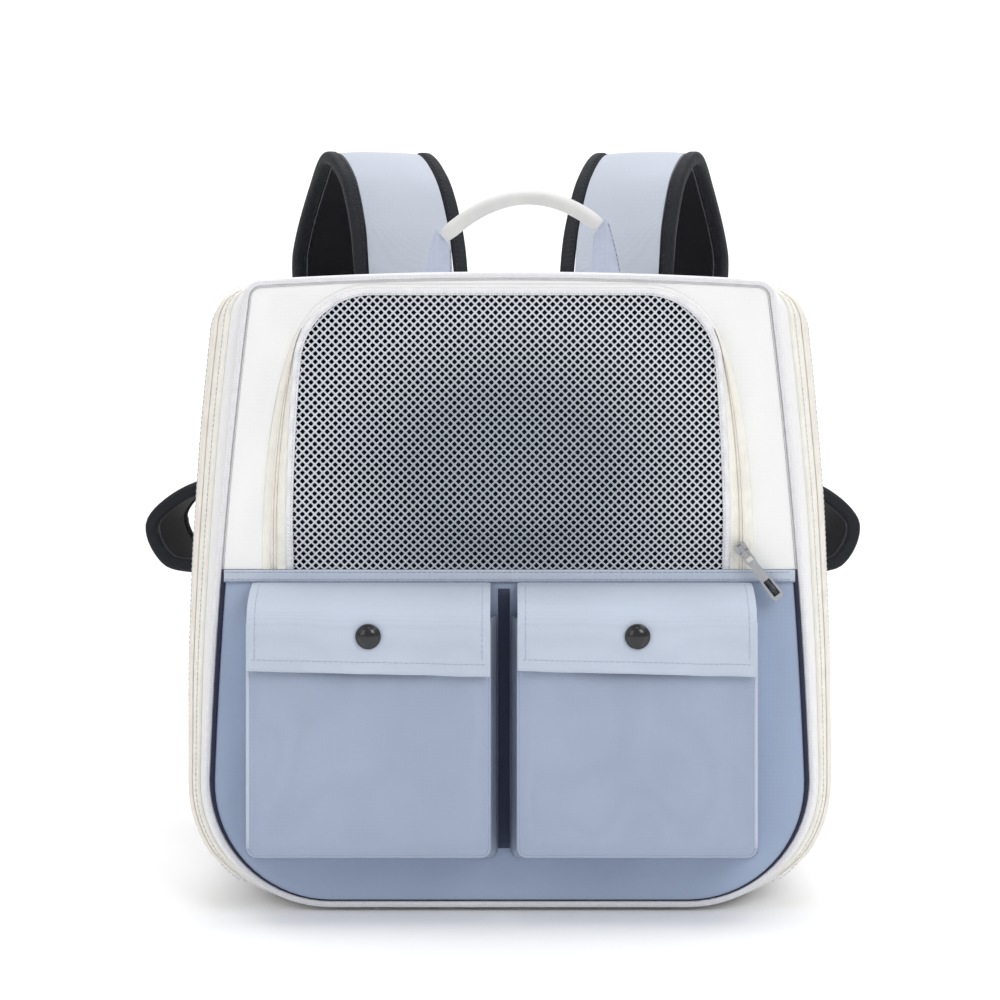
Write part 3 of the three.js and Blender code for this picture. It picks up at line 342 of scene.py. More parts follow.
WHITE = cloth("white_cloth", (0.829, 0.829, 0.826), sheen=0.1, crease=0.2, shade=0.02)
# Near-black navy for the strip between the pockets: painted shade.
POCKET_GAP_SHADE = cloth("pocket_gap_painted_shade_cloth", (0.05, 0.058, 0.105))
BLUE = cloth("blue_cloth", (0.333, 0.386, 0.505))
PANEL_BLUE = cloth("panel_blue_cloth", (0.354, 0.429, 0.576))
# A lighter copy of the blue cloth for the flaps, the trim band and the pockets' outer side ridges: painted
# light falling from above.
LIT_PALE_BLUE = cloth("pale_blue_cloth", (0.484, 0.543, 0.640), crease=0.2)
STRAP = cloth("strap_cloth", (0.419, 0.451, 0.517), pitch=0.9, crease=0.3)
LINING = cloth("lining_cloth", (0.006, 0.0065, 0.01), pitch=1.3, roughness=0.85, sheen=0.02, shade=0.2)
CABIN = cloth("cabin_cloth", (0.022, 0.026, 0.04), pitch=1.3, roughness=0.85, crease=0.3, shade=0.3)
# A lighter copy of the cabin cloth for the back lining: painted light falling through the window onto the
# back.
CABIN_BACK_LIT = cloth("cabin_back_lit_cloth", (0.085, 0.1, 0.145), pitch=1.3, roughness=0.85, shade=0.3)
BLACK_TAPE = webbing("black_tape", (0.008, 0.009, 0.014), sheen=0.03)
WHITE_TAPE = webbing("white_tape", (0.82, 0.82, 0.84), rib=0.9, shade=0.04)
PALE_TAPE = webbing("pale_tape", (0.48, 0.52, 0.64), rib=0.8, shade=0.04)
ZIP_TAPE = zipper("zip_tape", (0.84, 0.825, 0.76))
ZIP_COIL = zipper("zip_coil", (0.83, 0.79, 0.73))
# The net thread turns greyer towards the window's middle.
NET = net_thread("net_thread", (0.58, 0.61, 0.66), (0.33, 0.37, 0.42))
THREAD = webbing("thread", (0.76, 0.76, 0.78), rib=0.5, shade=0.05)
BLUE_THREAD = webbing("blue_thread", (0.46, 0.51, 0.62), rib=0.5, shade=0.06)
# Grey for the seam along the white panel's edge: painted shadow in the gap by the piping.
SEAM_SHADOW_GREY = webbing("seam_painted_shadow_grey", (0.6, 0.6, 0.61), rib=0.6, shade=0.08)
BLACK_THREAD = webbing("black_thread", (0.012, 0.012, 0.018), rib=0.5)
# Dark blue for the roll under the trim band: painted shadow.
TRIM_SHADOW_BLUE = webbing("trim_painted_shadow_edge", (0.3, 0.34, 0.46), rib=0.9)
# Navy for the seam along the blue panel's edge: painted shadow in the gap by the piping.
SEAM_SHADOW_NAVY = webbing("seam_painted_shadow_navy", (0.016, 0.02, 0.05), rib=0.9)
SNAP = plastic("snap_plastic", (0.004, 0.0045, 0.007), 0.2, grain=0.01, coat=0.3)
BUCKLE = plastic("buckle_plastic", (0.012, 0.012, 0.016), 0.34, grain=0.05)
RUBBER = plastic("white_rubber", (0.57, 0.57, 0.565), 0.42, grain=0.03, mottle=12)
STEEL = metal("plated_metal", (0.42, 0.43, 0.45), 0.24)
DARK_STEEL = metal("recess_metal", (0.1, 0.105, 0.12), 0.42)


# Lines


def steps(start, end, count):
    return [start + (end - start) * step / count for step in range(count + 1)]


def lengths_along(points):
    lengths = [0.0]
    for start, end in zip(points, points[1:]):
        lengths.append(lengths[-1] + (end - start).length)
    return lengths


def span_at(marks, value):
    """The span of a rising list that a value lies in, and its share of that span."""
    place = min(max(bisect.bisect_right(marks, value) - 1, 0), len(marks) - 2)
    return place, (value - marks[place]) / max(marks[place + 1] - marks[place], 1e-9)


def direction_at(points, place, closed):
    before = points[place - 1] if place > 0 or closed else points[0]
    after = points[(place + 1) % len(points)] if closed else points[min(place + 1, len(points) - 1)]
    return (after - before).normalized()


def moved_out(points, distance, closed):
    """A flat line moved to its right."""
    moved = []
    for place, point in enumerate(points):
        along = direction_at(points, place, closed)
        moved.append(Vector((point.x + along.y * distance, point.y - along.x * distance)))
    return moved


def quadratic(start, bend, end, count):
    start, bend, end = Vector(start), Vector(bend), Vector(end)
    return [
        (start * (1 - t) ** 2 + bend * (2 * t * (1 - t)) + end * t * t)
        for t in (step / count for step in range(1, count + 1))
    ]


def arc(centre, radius, first, last, count):
    return [
        Vector((centre[0] + radius * math.cos(angle), centre[1] + radius * math.sin(angle)))
        for angle in (math.radians(first + (last - first) * step / count) for step in range(1, count + 1))
    ]


def both_halves(right):
    """A line from its right half, which ends on the middle."""
    return right + [Vector((-point.x, point.y)) for point in reversed(right[:-1])]


def upright(line, y):
    """A flat line stood up at a depth."""
    return [Vector((point.x, y, point.y)) for point in line]


# Meshes


def finish_mesh(name, points, faces, material, slot, stands_for=None, sharp=None, body="bag", extra=(),
                face_slots=None):
    """One piece from points in millimetres, riding on a body."""
    mesh = bpy.data.meshes.new(name)
    mesh.from_pydata([tuple(Vector(point) * MM) for point in points], [], faces)
    for value in (material, *extra):
        mesh.materials.append(value)
    if face_slots:
        mesh.polygons.foreach_set("material_index", face_slots)
    mesh.polygons.foreach_set("use_smooth", [True] * len(mesh.polygons))
    mesh.update()
    piece = new_object(name, mesh)
    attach(piece, body)
    if stands_for:
        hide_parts(stands_for)
    return keep_edges(piece, sharp) if sharp else piece


def keep_edges(piece, degrees):
    """Smooth shading that stays sharp at real edges."""
    normals = {}
    for face in piece.data.polygons:
        for key in face.edge_keys:
            normals.setdefault(key, []).append(face.normal.copy())
    for edge in piece.data.edges:
        pair = normals.get(edge.key, [])
        if len(pair) == 2 and pair[0].angle(pair[1], 0) > math.radians(degrees):
            edge.use_edge_sharp = True
    return piece


def bake(piece):
    """The piece with its modifiers applied to its mesh."""
    bpy.context.view_layer.update()
    evaluated = piece.evaluated_get(bpy.context.evaluated_depsgraph_get())
    baked = bpy.data.meshes.new_from_object(evaluated)
    piece.modifiers.clear()
    piece.data = baked


def outward(points, faces):
    """The same closed shape, with its faces turned outwards."""
    volume = 0.0
    for face in faces:
        first = Vector(points[face[0]])
        for step in range(1, len(face) - 1):
            volume += first.dot(Vector(points[face[step]]).cross(Vector(points[face[step + 1]])))
    return points, [face[::-1] for face in faces] if volume < 0 else faces


def skin(rings, loop=False):
    """Points and outward faces of a closed body through rings of points."""
    count, sides = len(rings), len(rings[0])
    faces = []
    for ring in range(count if loop else count - 1):
        near, far = ring * sides, (ring + 1) % count * sides
        for side in range(sides):
            after = (side + 1) % sides
            faces.append((near + side, near + after, far + after, far + side))
    if not loop:
        faces.append(tuple(range(sides))[::-1])
        faces.append(tuple(range((count - 1) * sides, count * sides)))
    return outward([point for ring in rings for point in ring], faces)


def plate(front, back, wide):
    """A plate from the points of its two faces, in rows of equal length."""
    high, offset = len(front) // wide, len(front)
    faces = []
    for row in range(high - 1):
        for a in range(row * wide, row * wide + wide - 1):
            faces.append((a, a + 1, a + wide + 1, a + wide))
            faces.append((offset + a, offset + a + wide, offset + a + wide + 1, offset + a + 1))
    rim = (list(range(wide)) + [row * wide + wide - 1 for row in range(1, high)]
           + [(high - 1) * wide + i for i in reversed(range(wide - 1))]
           + [row * wide for row in reversed(range(1, high - 1))])
    faces += [(a, offset + a, offset + b, b) for a, b in zip(rim, rim[1:] + rim[:1])]
    return outward(front + back, faces)


def joined(parts):
    """Several (points, faces) as one."""
    points, faces = [], []
    for part_points, part_faces in parts:
        offset = len(points)
        points.extend(part_points)
        faces.extend(tuple(index + offset for index in face) for face in part_faces)
    return points, faces


def rounded_section(low, high, bottom, top, radius, steps=3):
    """A rounded rectangle as (across, lift) pairs, counter-clockwise."""
    radius = min(radius, (high - low) / 2, (top - bottom) / 2)
    corners = (
        (high - radius, bottom + radius, -90), (high - radius, top - radius, 0),
        (low + radius, top - radius, 90), (low + radius, bottom + radius, 180),
    )
    points = []
    for across, lift, start in corners:
        for step in range(steps + 1):
            angle = math.radians(start + 90 * step / steps)
            points.append((across + radius * math.cos(angle), lift + radius * math.sin(angle)))
    return points


def tube(path, radius, sides=8, up=Vector((0, 0, 1))):
    """A round roll along a path, with one radius or one for each point."""
    rings = []
    for place, point in enumerate(path):
        along = direction_at(path, place, False)
        side = along.cross(up)
        if side.length < 0.05:
            side = along.cross(Vector((1, 0, 0)))
        side.normalize()
        lift = side.cross(along)
        size = radius[place] if isinstance(radius, list) else radius
        rings.append([
            point + side * (size * math.cos(angle)) + lift * (size * math.sin(angle))
            for angle in (math.tau * step / sides for step in range(sides))
        ])
    return skin(rings)


FORWARD = Vector((0, -1, 0))


def stitches(path, normals, length=2.4, pitch=3.2, radius=0.28, lift=0.1):
    """Short thread stitches laid along a path, each sunk at both ends."""
    if isinstance(normals, Vector):
        normals = [normals] * len(path)
    lengths = lengths_along(path)
    parts = []
    for step in range(int(lengths[-1] / pitch)):
        bar = []
        for share, height in ((0, -0.15), (0.25, 0.8), (0.75, 0.8), (1, -0.15)):
            place, at = span_at(lengths, pitch * (step + 0.2) + share * length)
            at = min(at, 1)
            normal = normals[place].lerp(normals[place + 1], at).normalized()
            bar.append(path[place].lerp(path[place + 1], at) + normal * (lift + height * radius))
        parts.append(tube(bar, radius, 5, Vector((0.13, 0.37, 0.92))))
    return parts


# Gusset

BASE_STEPS, CORNER_STEPS, SIDE_STEPS, TURN_STEPS, CROWN_STEPS = 12, 18, 32, 12, 16
ZIP_START, ZIP_END = BASE_STEPS + 7, BASE_STEPS + CORNER_STEPS + SIDE_STEPS + 9
STRIP_SUNK, STRIP_FADE_STEPS = -0.6, 4
SAG_SIZE, SAG_DEPTH = 55, 0.55


def bag_outline(foot, half_width, shoulder, shoulder_radius, top, arch_rise, bow):
    radius = BOTTOM_CORNER_RADIUS
    shoulder_foot = top - arch_rise - shoulder_radius
    base = [Vector((x, foot)) for x in steps(0, half_width - radius, BASE_STEPS)]
    corner = arc((half_width - radius, foot + radius), radius, -90, 0, CORNER_STEPS)
    side = quadratic(
        (half_width, foot + radius),
        ((half_width + shoulder) / 2 + 2 * bow, (foot + radius + shoulder_foot) / 2),
        (shoulder, shoulder_foot), SIDE_STEPS)
    turn = arc((shoulder - shoulder_radius, shoulder_foot), shoulder_radius, 0, 90, TURN_STEPS)
    crown = quadratic(
        (shoulder - shoulder_radius, top - arch_rise), ((shoulder - shoulder_radius) / 2, top), (0, top),
        CROWN_STEPS)
    return both_halves(base + corner + side + turn + crown)[:-1]


panel_outline = bag_outline(
    PANEL_FOOT, PANEL_WIDTH / 2, PANEL_SHOULDER_WIDTH / 2, PANEL_SHOULDER_RADIUS, PANEL_TOP,
    PANEL_TOP_ARCH, PANEL_BOW)
body_outline = bag_outline(
    0, PANEL_WIDTH / 2 + FLARE_SIDES, PANEL_SHOULDER_WIDTH / 2 + FLARE_SHOULDERS, BODY_SHOULDER_RADIUS,
    BODY_TOP, BODY_TOP_ARCH, BODY_BOW)
back_outline = moved_out(body_outline, -BACK_INSET, True)


def half_width_at(outline, height):
    half = outline[:len(outline) // 2 + 1]
    place, share = span_at([point.y for point in half], height)
    return half[place].x + (half[place + 1].x - half[place].x) * share


def spread_after(run):
    """The flare's spread, on a smooth curve through its profile."""
    place, t = span_at([row[0] for row in FLARE_PROFILE], run)
    (r0, s0), (r1, s1) = FLARE_PROFILE[place:place + 2]
    slopes = [(b[1] - a[1]) / (b[0] - a[0]) for a, b in zip(FLARE_PROFILE, FLARE_PROFILE[1:])]
    tangent = [slopes[0]] + [(a + b) / 2 for a, b in zip(slopes, slopes[1:])] + [0.0]
    span = r1 - r0
    return ((2 * t ** 3 - 3 * t ** 2 + 1) * s0 + (t ** 3 - 2 * t ** 2 + t) * span * tangent[place]
            + (-2 * t ** 3 + 3 * t ** 2) * s1 + (t ** 3 - t ** 2) * span * tangent[place + 1])


def gusset_line(depth, lift):
    """The gusset's line round the bag at a depth behind the front, lifted off its surface."""
    front_run = min(1, (depth - SEAM_INSET) / (FLARE_DEPTH - SEAM_INSET))
    back_run = min(1, (BODY_DEPTH - SEAM_INSET - depth) / (BACK_TAPER_DEPTH - SEAM_INSET))
    start = panel_outline if front_run < 1 else back_outline
    run = max(0, min(front_run, back_run))
    spread = spread_after(run)
    line = [point.lerp(body_outline[place], spread) for place, point in enumerate(start)]
    ring = []
    for point, out in zip(line, moved_out(line, 1.0, True)):
        sag = min(0.0, SAG_DEPTH * noise.noise(Vector((point.x, depth, point.y)) / SAG_SIZE) - 0.2)
        push = lift + sag * min(1, run * 3) if point.y > 6 else lift
        ring.append(Vector((point.x + (out.x - point.x) * push, FRONT + depth,
                            point.y + (out.y - point.y) * push)))
    return ring


def gusset_depths():
    front = [SEAM_INSET + (FLARE_DEPTH - SEAM_INSET) * share ** 1.4 for share in steps(0, 1, 14)]
    middle = steps(FLARE_DEPTH, BODY_DEPTH - BACK_TAPER_DEPTH, 14)[1:-1]
    back = [BODY_DEPTH - SEAM_INSET - (BACK_TAPER_DEPTH - SEAM_INSET) * share ** 1.4
            for share in steps(1, 0, 10)]
    return front + middle + back


def gusset_wall(outer_lift, inner_lift):
    depths = gusset_depths()
    lines = [gusset_line(depth, outer_lift) for depth in depths]
    lines += [gusset_line(depth, inner_lift) for depth in reversed(depths)]
    return skin([[line[place] for line in lines] for place in range(len(panel_outline))], True)


def make_gusset():
    finish_mesh("gusset_cloth", *gusset_wall(0, -WALL), WHITE, "white_cloth", "gusset", 60)
    finish_mesh("cabin_lining", *gusset_wall(-WALL - GAP, -WALL - 1.0), CABIN, "black_cloth")


def gusset_strip(places, columns):
    """A strip on the gusset: columns of (depth, lift) pairs closed into a section."""
    lines = [gusset_line(depth, lift) for depth, lift in columns]
    sunk = [gusset_line(depth, STRIP_SUNK) for depth, _ in columns]
    rings = []
    for step, place in enumerate(places):
        share = min(1, (min(step, len(places) - 1 - step) + 0.2) / STRIP_FADE_STEPS)
        rings.append([low[place].lerp(line[place], share) for low, line in zip(sunk, lines)])
    return skin(rings)


def make_gusset_zippers():
    start, end = GUSSET_TAPE_DEPTH, GUSSET_TAPE_DEPTH + GUSSET_TAPE_WIDTH
    middle = (start + end) / 2
    top = STITCH_GAP + TAPE_THICKNESS
    half = GUSSET_COIL_WIDTH / 2
    foot = top + 0.1
    crest = top + GAP + COIL_HEIGHT
    right = list(range(ZIP_START, ZIP_END + 1))
    for side in SIDES:
        places = right if side == "right" else [len(panel_outline) - place for place in right]
        shape = [
            (start, top - 0.5), (start + 0.6, top), (start + 3.2, top + 0.1), (start + 3.9, top - 0.1),
            (start + 4.6, top + 0.1), (middle - 3.8, top + 0.15), (middle - 3.1, top - 0.1),
            (middle, top - 0.1), (middle + 3.1, top - 0.1), (middle + 3.8, top + 0.15),
            (end - 4.6, top + 0.1), (end - 3.9, top - 0.1), (end - 3.2, top + 0.1), (end - 0.6, top),
            (end, top - 0.5),
        ]
        shape += [(depth, STITCH_GAP - 0.5) for depth in (end, middle, start)]
        finish_mesh(f"gusset_zip_tape_{side}_cloth", *gusset_strip(places, shape), ZIP_TAPE,
                    "zipper_tape", f"gusset_zip_tape_{side}", 60)
        bead = [
            (middle - half, foot), (middle - half * 0.9, foot + 0.8), (middle - half * 0.5, crest),
            (middle - half * 0.12, crest - 0.35), (middle, foot + 0.35), (middle + half * 0.12, crest - 0.35),
            (middle + half * 0.5, crest), (middle + half * 0.9, foot + 0.8), (middle + half, foot),
        ]
        finish_mesh(f"gusset_zip_coil_{side}_teeth", *gusset_strip(places, bead), ZIP_COIL,
                    "zipper_tape", f"gusset_zip_coil_{side}")
        rows = []
        for depth in (start + 1.9, end - 1.9):
            low = gusset_line(depth, top)
            high = gusset_line(depth, top + 1)
            path = [low[place] for place in places]
            normals = [high[place] - low[place] for place in places]
            rows.extend(stitches(path, normals))
        finish_mesh(f"gusset_zip_stitches_{side}", *joined(rows), THREAD, "zipper_tape")


# Panels and piping


def panel_relief(x, z):
    """How far the front panel's cloth stands from its plane, in soft swells."""
    edge = min(1.0, max(0.0, (half_width_at(panel_outline, min(max(z, 20), 370)) - abs(x)) / 14))
    edge *= min(1.0, max(0.0, (z - PANEL_FOOT) / 14)) * min(1.0, max(0.0, (PANEL_TOP - z) / 10))
    swell = 0.9 * noise.noise(Vector((x / 60, 3.1, z / 90)))
    swell += 0.35 * noise.noise(Vector((x / 22, 7.7, z / 40)))
    return edge * max(-0.9, min(0.25, swell - 0.25))


def front_plate(name, rows, material, slot, stands_for):
    """A plate of the front panel's cloth from rows of (x, z) places."""
    front = [Vector((x, FRONT - panel_relief(x, z), z)) for row in rows for x, z in row]
    back = [Vector((x, FRONT + WALL, z)) for row in rows for x, z in row]
    finish_mesh(name, *plate(front, back, len(rows[0])), material, slot, stands_for, 50)


def make_front_panels():
    rows = []
    for share in steps(0, 1, 60):
        height = PANEL_FOOT + (SEAM_HEIGHT - PANEL_FOOT) * share ** 1.35
        width = half_width_at(panel_outline, height)
        rows.append([(x, height) for x in steps(-width, width, 80)])
    front_plate("front_lower_cloth", rows, PANEL_BLUE, "blue_cloth", "front_panel_lower")
    shift = Vector((WINDOW_SHIFT, 0))
    rows = [[(near + shift).lerp(far, share) for share in steps(0, 1, 14)]
            for near, far in zip(opening_arch(0), outer_arch())]
    front_plate("front_upper_cloth", rows, WHITE, "white_cloth", "front_panel_upper")


def outer_arch():
    """The panel's edge from the seam on the right, over the top, to the seam on the left."""
    half = len(panel_outline) // 2
    foot = Vector((half_width_at(panel_outline, SEAM_HEIGHT + GAP), SEAM_HEIGHT + GAP))
    line = [foot] + [point for point in panel_outline[:half + 1] if point.y > SEAM_HEIGHT + GAP + 1]
    lengths = lengths_along(line)
    shoulder = next(i for i, point in enumerate(line) if point.y >= PANEL_TOP - PANEL_TOP_ARCH - 0.3)
    side_steps = ARCH_SIDE_STEPS + ARCH_CORNER_STEPS // 2
    top_steps = ARCH_SIDE_STEPS + ARCH_CORNER_STEPS + ARCH_TOP_STEPS - side_steps
    points = []
    side, whole = lengths[shoulder], lengths[-1]
    for along in steps(0, side, side_steps)[:-1] + steps(side, whole, top_steps):
        place, share = span_at(lengths, along)
        points.append(line[place].lerp(line[place + 1], min(1, share)))
    return both_halves(points)


def make_back_panel():
    top = max(point.y for point in back_outline)
    front, back = [], []
    for turn in steps(0, math.pi, 80):
        height = BACK_INSET + 0.3 + (top - BACK_INSET - 2.4) * (0.5 - 0.5 * math.cos(turn))
        width = half_width_at(back_outline, height)
        for share in steps(-1, 1, 80):
            x = share * width
            edge = min(1, (1 - abs(share)) * width / 12)
            edge *= min(1, (height - BACK_INSET) / 12) * min(1, (top - height) / 12)
            dent = -0.8 * max(0, noise.noise(Vector((x / 70, 1.3, height / 80))))
            front.append(Vector((x, BACK - WALL, height)))
            back.append(Vector((x, BACK + dent * edge, height)))
    finish_mesh("back_cloth", *plate(front, back, 81), WHITE, "white_cloth", "back_panel", 50)
    path = upright(moved_out(back_outline, -9, True), BACK)
    rows = stitches(path + path[:1], -FORWARD, lift=0.0)
    finish_mesh("back_stitches", *joined(rows), THREAD, "white_cloth")


def piping_roll(outline, centre_y):
    line = moved_out(outline, PIPING_RADIUS + STITCH_GAP, True)
    columns = []
    for angle in (math.tau * side / 14 for side in range(14)):
        column = moved_out(line, PIPING_RADIUS * math.cos(angle), True)
        columns.append(upright(column, centre_y + PIPING_RADIUS * math.sin(angle)))
    return skin([list(ring) for ring in zip(*columns)], True)


def seam_shadow_strip(edge, inner, lift):
    """A thin strip in the front panel's seam, between two lines; its dark colour is painted shadow in the gap
    by the piping.
    """
    columns = [upright(edge, FRONT + 0.5), upright(edge, FRONT - lift), upright(inner, FRONT - lift - 0.05),
               upright(inner, FRONT + 0.5)]
    return skin([list(ring) for ring in zip(*columns)])


def make_piping():
    finish_mesh("front_piping_roll", *piping_roll(panel_outline, FRONT + PIPING_RADIUS - PIPING_STAND_OUT),
                WHITE_TAPE, "white_cloth", "front_piping")
    finish_mesh("back_piping_roll", *piping_roll(back_outline, BACK - PIPING_RADIUS), WHITE_TAPE,
                "white_cloth", "back_piping")
    count = len(panel_outline)
    edge = moved_out(panel_outline, 0.6, True)
    inner = moved_out(panel_outline, -2.2, True)
    groove = moved_out(panel_outline, -0.5, True)
    below = []
    for place in [*range(count // 2 + 1, count), *range(count // 2 + 1)]:
        height = panel_outline[place].y
        if height < SEAM_HEIGHT + 1:
            share = 0.25 + 0.75 * min(1, max(0, (height - PANEL_FOOT) / 70))
            below.append((edge[place], edge[place].lerp(inner[place], share)))
    # A navy strip in the seam of the blue lower panel: painted shadow between the panel and the piping.
    finish_mesh("front_edge_painted_shadow_low", *seam_shadow_strip(*zip(*below), 0.5), SEAM_SHADOW_NAVY, "black_cloth")
    # A grey strip in the seam of the white upper panel: painted shadow in the same gap.
    above = [(edge[place], groove[place]) for place in range(count) if panel_outline[place].y >= SEAM_HEIGHT]
    finish_mesh("front_edge_painted_shadow_high", *seam_shadow_strip(*zip(*above), 0.35), SEAM_SHADOW_GREY, "white_cloth")


def make_trim_band():
    half = half_width_at(panel_outline, SEAM_HEIGHT) - STITCH_GAP
    places = steps(-half, half, 120)
    foot = SEAM_HEIGHT - TRIM_HEIGHT
    rings = []
    for x in places:
        top = SEAM_HEIGHT + 0.1 + 0.25 * noise.noise(Vector((x / 30, 2.2, 0)))
        section = rounded_section(foot, top, 0, TRIM_THICKNESS, 0.5)
        rings.append([Vector((x, FRONT - GAP - lift, z)) for z, lift in section])
    # The trim band takes the lighter copy of the blue: painted light.
    finish_mesh("trim_band_cloth", *skin(rings), LIT_PALE_BLUE, "pale_blue_cloth", "trim_band", 60)

    def line(height):
        return [Vector((x, FRONT - GAP - TRIM_THICKNESS, height)) for x in places]

    rows = []
    for height in (SEAM_HEIGHT - 1.3, foot + 1.3):
        rows.extend(stitches(line(height), FORWARD, radius=0.22, lift=0))
    finish_mesh("trim_band_stitches", *joined(rows), BLUE_THREAD, "pale_blue_cloth")
    # A thin dark roll along the band's lower edge: painted shadow under the band.
    finish_mesh("trim_band_painted_shadow", *tube(line(foot), 0.4), TRIM_SHADOW_BLUE, "black_cloth")


# Window

ARCH_SIDE_STEPS = 28
ARCH_CORNER_STEPS = 14
ARCH_TOP_STEPS = 12
COIL_TOP = 335
SEWN_GAP = 0.05
OPENING_FOOT = half_width_at(panel_outline, SEAM_HEIGHT) - WINDOW_SIDE_MARGIN
OPENING_TOP = PANEL_TOP - WINDOW_TOP_MARGIN
BINDING_OUTSET = GAP + BINDING_WIDTH
NET_FOOT = OPENING_FOOT - GAP - WINDOW_TAPE_WIDTH - GAP - BINDING_OUTSET
OPENING_OUTSET = BINDING_OUTSET + GAP + WINDOW_TAPE_TOP_WIDTH + GAP
NET_TOP = OPENING_TOP - OPENING_OUTSET
ARCH_CENTRE = Vector((NET_FOOT - NET_LEAN - NET_CORNER_RADIUS, NET_TOP - NET_CORNER_RADIUS))


def arch(half_foot, radius, start):
    join = ARCH_CENTRE + Vector((math.cos(math.radians(start)), math.sin(math.radians(start)))) * radius
    foot = Vector((half_foot, SEAM_HEIGHT + GAP))
    bend = (half_foot, join.y - (half_foot - join.x) / math.tan(math.radians(start)))
    side = [foot] + quadratic(foot, bend, join, ARCH_SIDE_STEPS)
    corner = arc(ARCH_CENTRE, radius, start, 90, ARCH_CORNER_STEPS)
    crest = ARCH_CENTRE.y + radius
    top = [Vector((x, crest)) for x in steps(ARCH_CENTRE.x, 0, ARCH_TOP_STEPS)[1:]]
    return both_halves(side + corner + top)


def opening_arch(inset):
    return arch(OPENING_FOOT - inset, NET_CORNER_RADIUS + OPENING_OUTSET - inset, WINDOW_CORNER_START)


def net_arch(outset):
    return arch(NET_FOOT + outset, NET_CORNER_RADIUS + outset, NET_CORNER_START)


def bulge_at(height):
    rise = (height - SEAM_HEIGHT) / (OPENING_TOP - SEAM_HEIGHT)
    t = min(1, max(0, rise / 0.22))
    return WINDOW_BULGE * t * t * (3 - 2 * t) * max(0, 1 - rise) ** 0.6


DOOR_BULGES = [bulge_at(point.y) for point in net_arch(0)]


def door_point(point, y):
    return Vector((point.x + WINDOW_SHIFT, y, point.y))


def arch_band(columns, places):
    """A band along the window's arch. A column is (line, bulge share, lift of the face)."""
    return skin([
        [door_point(line[place], FRONT - share * DOOR_BULGES[place] - lift) for line, share, lift in columns]
        for place in places
    ])


def make_window_frame():
    """The zipper tape, its two coils, and the binding with its stitches."""
    places = range(len(DOOR_BULGES))
    outer, inner = opening_arch(SEWN_GAP), net_arch(BINDING_OUTSET + SEWN_GAP)

    def columns(shape):
        return [([a.lerp(b, share) for a, b in zip(outer, inner)], share, lift) for share, lift in shape]

    tape = columns([
        (0, -0.15), (0.03, 0), (0.18, 0.1), (0.23, -0.1), (0.28, 0.12), (0.36, 0.1), (0.4, -0.1),
        (0.56, -0.1), (0.6, 0.1), (0.72, 0.12), (0.77, -0.1), (0.82, 0.1), (0.97, 0), (1, -0.15),
        (1, -TAPE_THICKNESS), (0.5, -TAPE_THICKNESS), (0, -TAPE_THICKNESS)])
    slots = [int(inner[place].y > COIL_TOP) for place in places[:-1] for _ in tape] + [0, 0]
    finish_mesh("window_zip_tape_cloth", *arch_band(tape, places), ZIP_TAPE, "zipper_tape", "window_zip_tape",
                60, extra=[WHITE], face_slots=slots)

    count = ARCH_SIDE_STEPS + 3
    top = COIL_HEIGHT + WINDOW_COIL_GAP
    bead = columns([
        (0.36, 0.1), (0.37, 0.9), (0.41, top), (0.465, top - 0.3), (0.48, 0.6), (0.495, top - 0.3),
        (0.55, top), (0.59, 0.9), (0.6, 0.1)])
    for side, ends in (("left", places[-count:]), ("right", places[:count])):
        finish_mesh(f"window_zip_coil_{side}_teeth", *arch_band(bead, ends), ZIP_COIL, "zipper_tape",
                    f"window_zip_coil_{side}")

    roll = [(net_arch(across), 1, lift) for across, lift in rounded_section(
        GAP, BINDING_OUTSET, BINDING_STAND_OUT - BINDING_THICKNESS, BINDING_STAND_OUT + 0.5, 1.3, 5)]
    finish_mesh("window_binding_roll", *arch_band(roll, places), WHITE_TAPE, "white_cloth", "window_binding")
    line = net_arch(GAP + BINDING_WIDTH * 0.28)
    path = [door_point(line[place], FRONT - DOOR_BULGES[place] - BINDING_STAND_OUT - 0.5) for place in places]
    rows = stitches(path, FORWARD, radius=0.22, lift=-0.05)
    finish_mesh("window_binding_stitches", *joined(rows), THREAD, "white_cloth")


def net_depth(x, z):
    """The net's front face at a place, bulging with the door and crowned across."""
    bulge = bulge_at(z)
    share = min(1, abs(x) / net_half_width(z))
    return FRONT - bulge - NET_CROWN * bulge / WINDOW_BULGE * (1 - share * share)


def net_half_width(z):
    place, share = span_at(NET_EDGE_HEIGHTS, z)
    low, high = NET_EDGE[place], NET_EDGE[place + 1]
    return max(low.x + (high.x - low.x) * min(1, max(0, share)), 1)


NET_EDGE = net_arch(1.6)[:ARCH_SIDE_STEPS + ARCH_CORNER_STEPS + 1]
NET_EDGE_HEIGHTS = [point.y for point in NET_EDGE]


